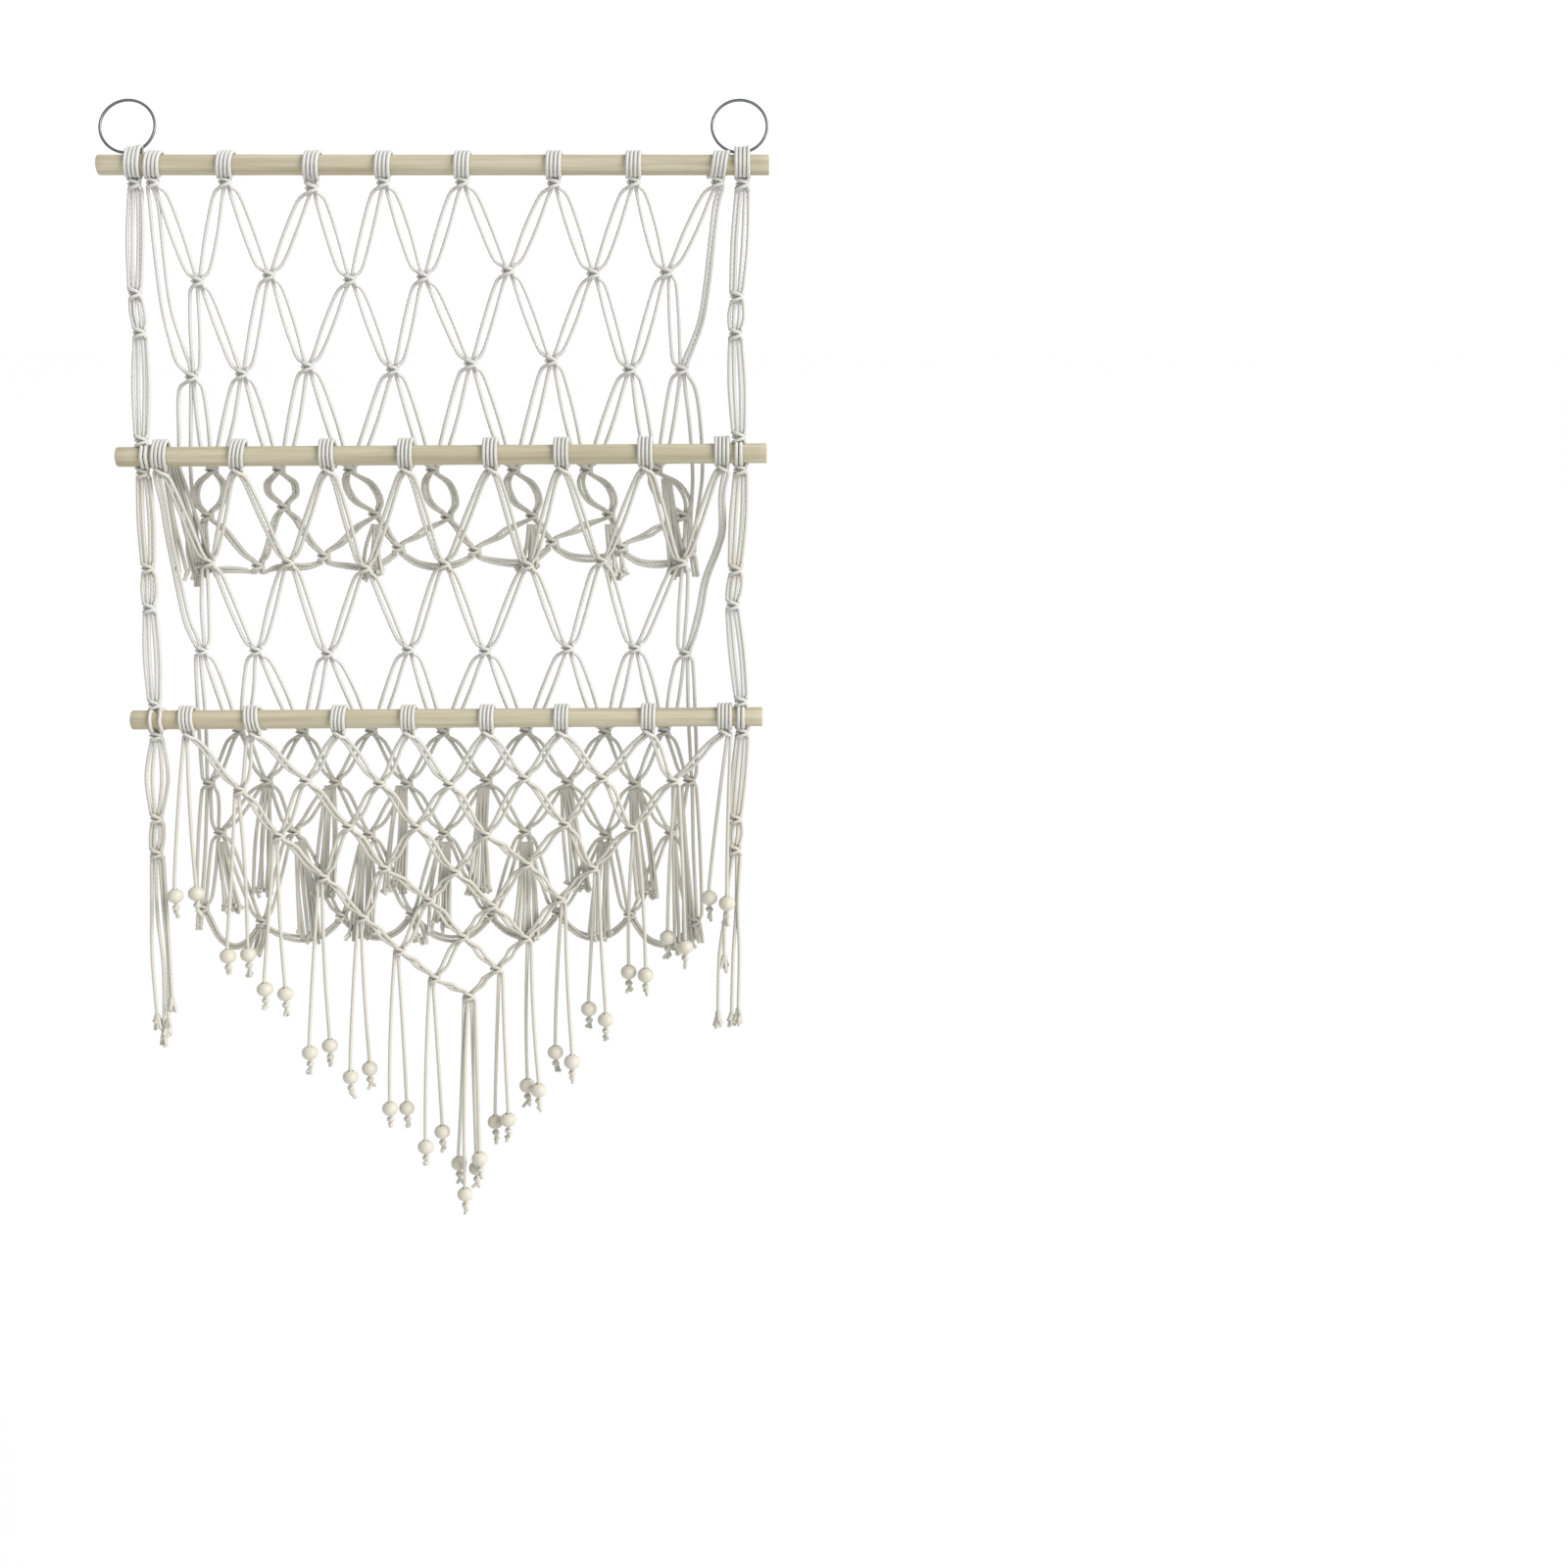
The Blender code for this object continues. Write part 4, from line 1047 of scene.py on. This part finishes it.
class HangingOperator(bpy.types.Operator):
    bl_options = {"REGISTER", "UNDO"}

    def execute(self, context):
        self.make(context.scene)
        return {"FINISHED"}

    def lay(self, scene, cords, name, node, step=1.0):
        """Makes a panel's or a rope's cords one piece, which stands for its node."""
        finish = finish_of("twisted cotton", cotton_finish, scene)
        made = cords.piece(name, scene.hanging_sizes, finish, step)
        take_over(made, "cotton_cord", node)


class MACRAME_OT_dowels(HangingOperator):
    """Turn the three dowels"""

    bl_idname = "macrame.dowels"
    bl_label = "Dowels"

    def make(self, scene):
        finish = finish_of("bare pale wood", dowel_finish, scene)
        for dowel in (TOP, MIDDLE, BOTTOM):
            made = dowel_piece(dowel, scene.hanging_sizes, finish)
            take_over(made, "dowel_wood", dowel.node)


class MACRAME_OT_rings(HangingOperator):
    """Bend the two rings that it hangs by"""

    bl_idname = "macrame.rings"
    bl_label = "Rings"

    def make(self, scene):
        finish = finish_of("drawn steel wire", steel_finish, scene)
        for rope, node in zip(ROPES, ("ring_left", "ring_right")):
            made = ring_piece(f"{node}_wire", rope.ring, scene.hanging_sizes, finish)
            take_over(made, "ring_steel", node)


class MACRAME_OT_upper_net(HangingOperator):
    """Knot the upper net"""

    bl_idname = "macrame.upper_net"
    bl_label = "Upper net"

    def make(self, scene):
        cords = Cords(seed=11)
        net(cords, UPPER_GROUPS, UPPER_ROWS, UPPER_DEPTH, UPPER_LOOPS)
        loose_tails(cords, UPPER_TAILS, UPPER_DEPTH)
        self.lay(scene, cords, "upper_net_cord", "net_upper")


class MACRAME_OT_middle_net(HangingOperator):
    """Knot the middle net"""

    bl_idname = "macrame.middle_net"
    bl_label = "Middle net"

    def make(self, scene):
        cords = Cords(seed=12, thickness=1.05)
        net(cords, MIDDLE_GROUPS, MIDDLE_ROWS, MIDDLE_DEPTH, MIDDLE_LOOPS)
        loose_tails(cords, MIDDLE_TAILS, MIDDLE_DEPTH)
        self.lay(scene, cords, "middle_net_cord", "net_middle", step=1.45)


class MACRAME_OT_pointed_panel(HangingOperator):
    """Knot the pointed panel and its beaded cords"""

    bl_idname = "macrame.pointed_panel"
    bl_label = "Pointed panel"

    def make(self, scene):
        cords = Cords(seed=13, thickness=1.2)
        pointed_panel(cords)
        self.lay(scene, cords, "pointed_panel_cord", "panel_pointed", step=1.1)


class MACRAME_OT_beads(HangingOperator):
    """Thread the beads"""

    bl_idname = "macrame.beads"
    bl_label = "Beads"

    def make(self, scene):
        finish = finish_of("cream turned wood", bead_finish, scene)
        form = bead_shape(scene.hanging_sizes)
        mesh = bpy.data.meshes.new("bead places")
        places = [point(*at) for beads in BEADS for at in zip(beads.across, beads.drop, beads.depth)]
        mesh.from_pydata(places, [], [])
        holder = link_mesh("bead places", mesh)
        values = {"Bead": form, "Seed": 7, "Material": finish}
        made = link_mesh("beads_turned", run_nodes(holder, bead_group(), values))
        made.data.shade_smooth()
        bpy.data.objects.remove(holder, do_unlink=True)
        bpy.data.objects.remove(form, do_unlink=True)
        take_over(made, "bead_wood", *[f"bead_{i:02d}" for i in range(1, len(places) + 1)])


class MACRAME_OT_side_ropes(HangingOperator):
    """Knot the two side ropes and their fringe"""

    bl_idname = "macrame.side_ropes"
    bl_label = "Side ropes"

    def make(self, scene):
        for seed, rope in enumerate(ROPES, start=21):
            cords = Cords(seed)
            side_rope(cords, rope)
            self.lay(scene, cords, f"{rope.name}_cord", rope.node)


# The stage, in metres and degrees
FLOOR_REACH = 120.0
FLOOR_LEVEL = -1.5
FLOOR_COLOUR = (0.95, 0.95, 0.95)
SKY_LIGHT = 0.52
SKY_SEEN = 0.53  # more where the camera sees the sky itself
EXPOSURE = 0.17
SUN_STRENGTH = 2.6
SUN_WIDTH = 35.0
SUN_WAY = (-1.9, 1.0, -1.3)
CAMERA_PLACE = (0.23489, -1.38985, -0.14850)
CAMERA_PITCH = 13.111
LENS = 45.0
SENSOR = 36.0


class MACRAME_OT_stage(HangingOperator):
    """Set the floor, the light and the camera"""

    bl_idname = "macrame.stage"
    bl_label = "Stage"

    def make(self, scene):
        floor = bpy.data.meshes.new("floor")
        near, far = -FLOOR_REACH, FLOOR_REACH
        corners = ((near, near), (far, near), (far, far), (near, far))
        floor.from_pydata([(x, y, FLOOR_LEVEL) for x, y in corners], [], [(0, 1, 2, 3)])
        pale = Surface("pale floor", 0.9, specular=0.1)
        pale.colour(FLOOR_COLOUR)
        floor.materials.append(pale.material)
        link_mesh("floor", floor)

        world = bpy.data.worlds.new("soft studio")
        world.use_nodes = True
        sky = Tree(world.node_tree)
        seen = sky.node("ShaderNodeLightPath")
        background = world.node_tree.nodes["Background"]
        background.inputs["Color"].default_value = (1.0, 1.0, 1.0, 1.0)
        sky.feed(background.inputs["Strength"], SKY_LIGHT + SKY_SEEN * seen)
        scene.world = world
        scene.view_settings.view_transform = "Standard"
        scene.view_settings.exposure = EXPOSURE

        sun = bpy.data.lights.new("window light", "SUN")
        sun.energy = SUN_STRENGTH
        sun.angle = math.radians(SUN_WIDTH)
        holder = bpy.data.objects.new("window light", sun)
        scene.collection.objects.link(holder)
        holder.rotation_euler = Vector(SUN_WAY).to_track_quat("-Z", "Y").to_euler()

        camera = bpy.data.cameras.new("camera")
        camera.lens = LENS
        camera.sensor_width = SENSOR
        holder = bpy.data.objects.new("camera", camera)
        scene.collection.objects.link(holder)
        holder.location = CAMERA_PLACE
        holder.rotation_euler = (math.radians(90 - CAMERA_PITCH), 0.0, 0.0)
        scene.camera = holder


class MACRAME_PT_panel(bpy.types.Panel):
    bl_idname = "MACRAME_PT_panel"
    bl_label = "Macrame wall hanging"
    bl_space_type = "VIEW_3D"
    bl_region_type = "UI"
    bl_category = "Macrame"

    def draw(self, context):
        for group in (context.scene.hanging_sizes, context.scene.hanging_colours):
            column = self.layout.column(align=True)
            for name in group.__annotations__:
                column.prop(group, name)
        for operator in OPERATORS:
            self.layout.operator(operator.bl_idname)


OPERATORS = (
    MACRAME_OT_stage,
    MACRAME_OT_dowels,
    MACRAME_OT_rings,
    MACRAME_OT_upper_net,
    MACRAME_OT_middle_net,
    MACRAME_OT_pointed_panel,
    MACRAME_OT_beads,
    MACRAME_OT_side_ropes,
)
CLASSES = (HangingSizes, HangingColours, *OPERATORS, MACRAME_PT_panel)


def register():
    for cls in CLASSES:
        bpy.utils.register_class(cls)
    bpy.types.Scene.hanging_sizes = bpy.props.PointerProperty(type=HangingSizes)
    bpy.types.Scene.hanging_colours = bpy.props.PointerProperty(type=HangingColours)


def unregister():
    del bpy.types.Scene.hanging_colours
    del bpy.types.Scene.hanging_sizes
    for cls in reversed(CLASSES):
        bpy.utils.unregister_class(cls)


def main():
    register()
    for operator in OPERATORS:
        group, name = operator.bl_idname.split(".")
        getattr(getattr(bpy.ops, group), name)()


if __name__ == "__main__":
    main()
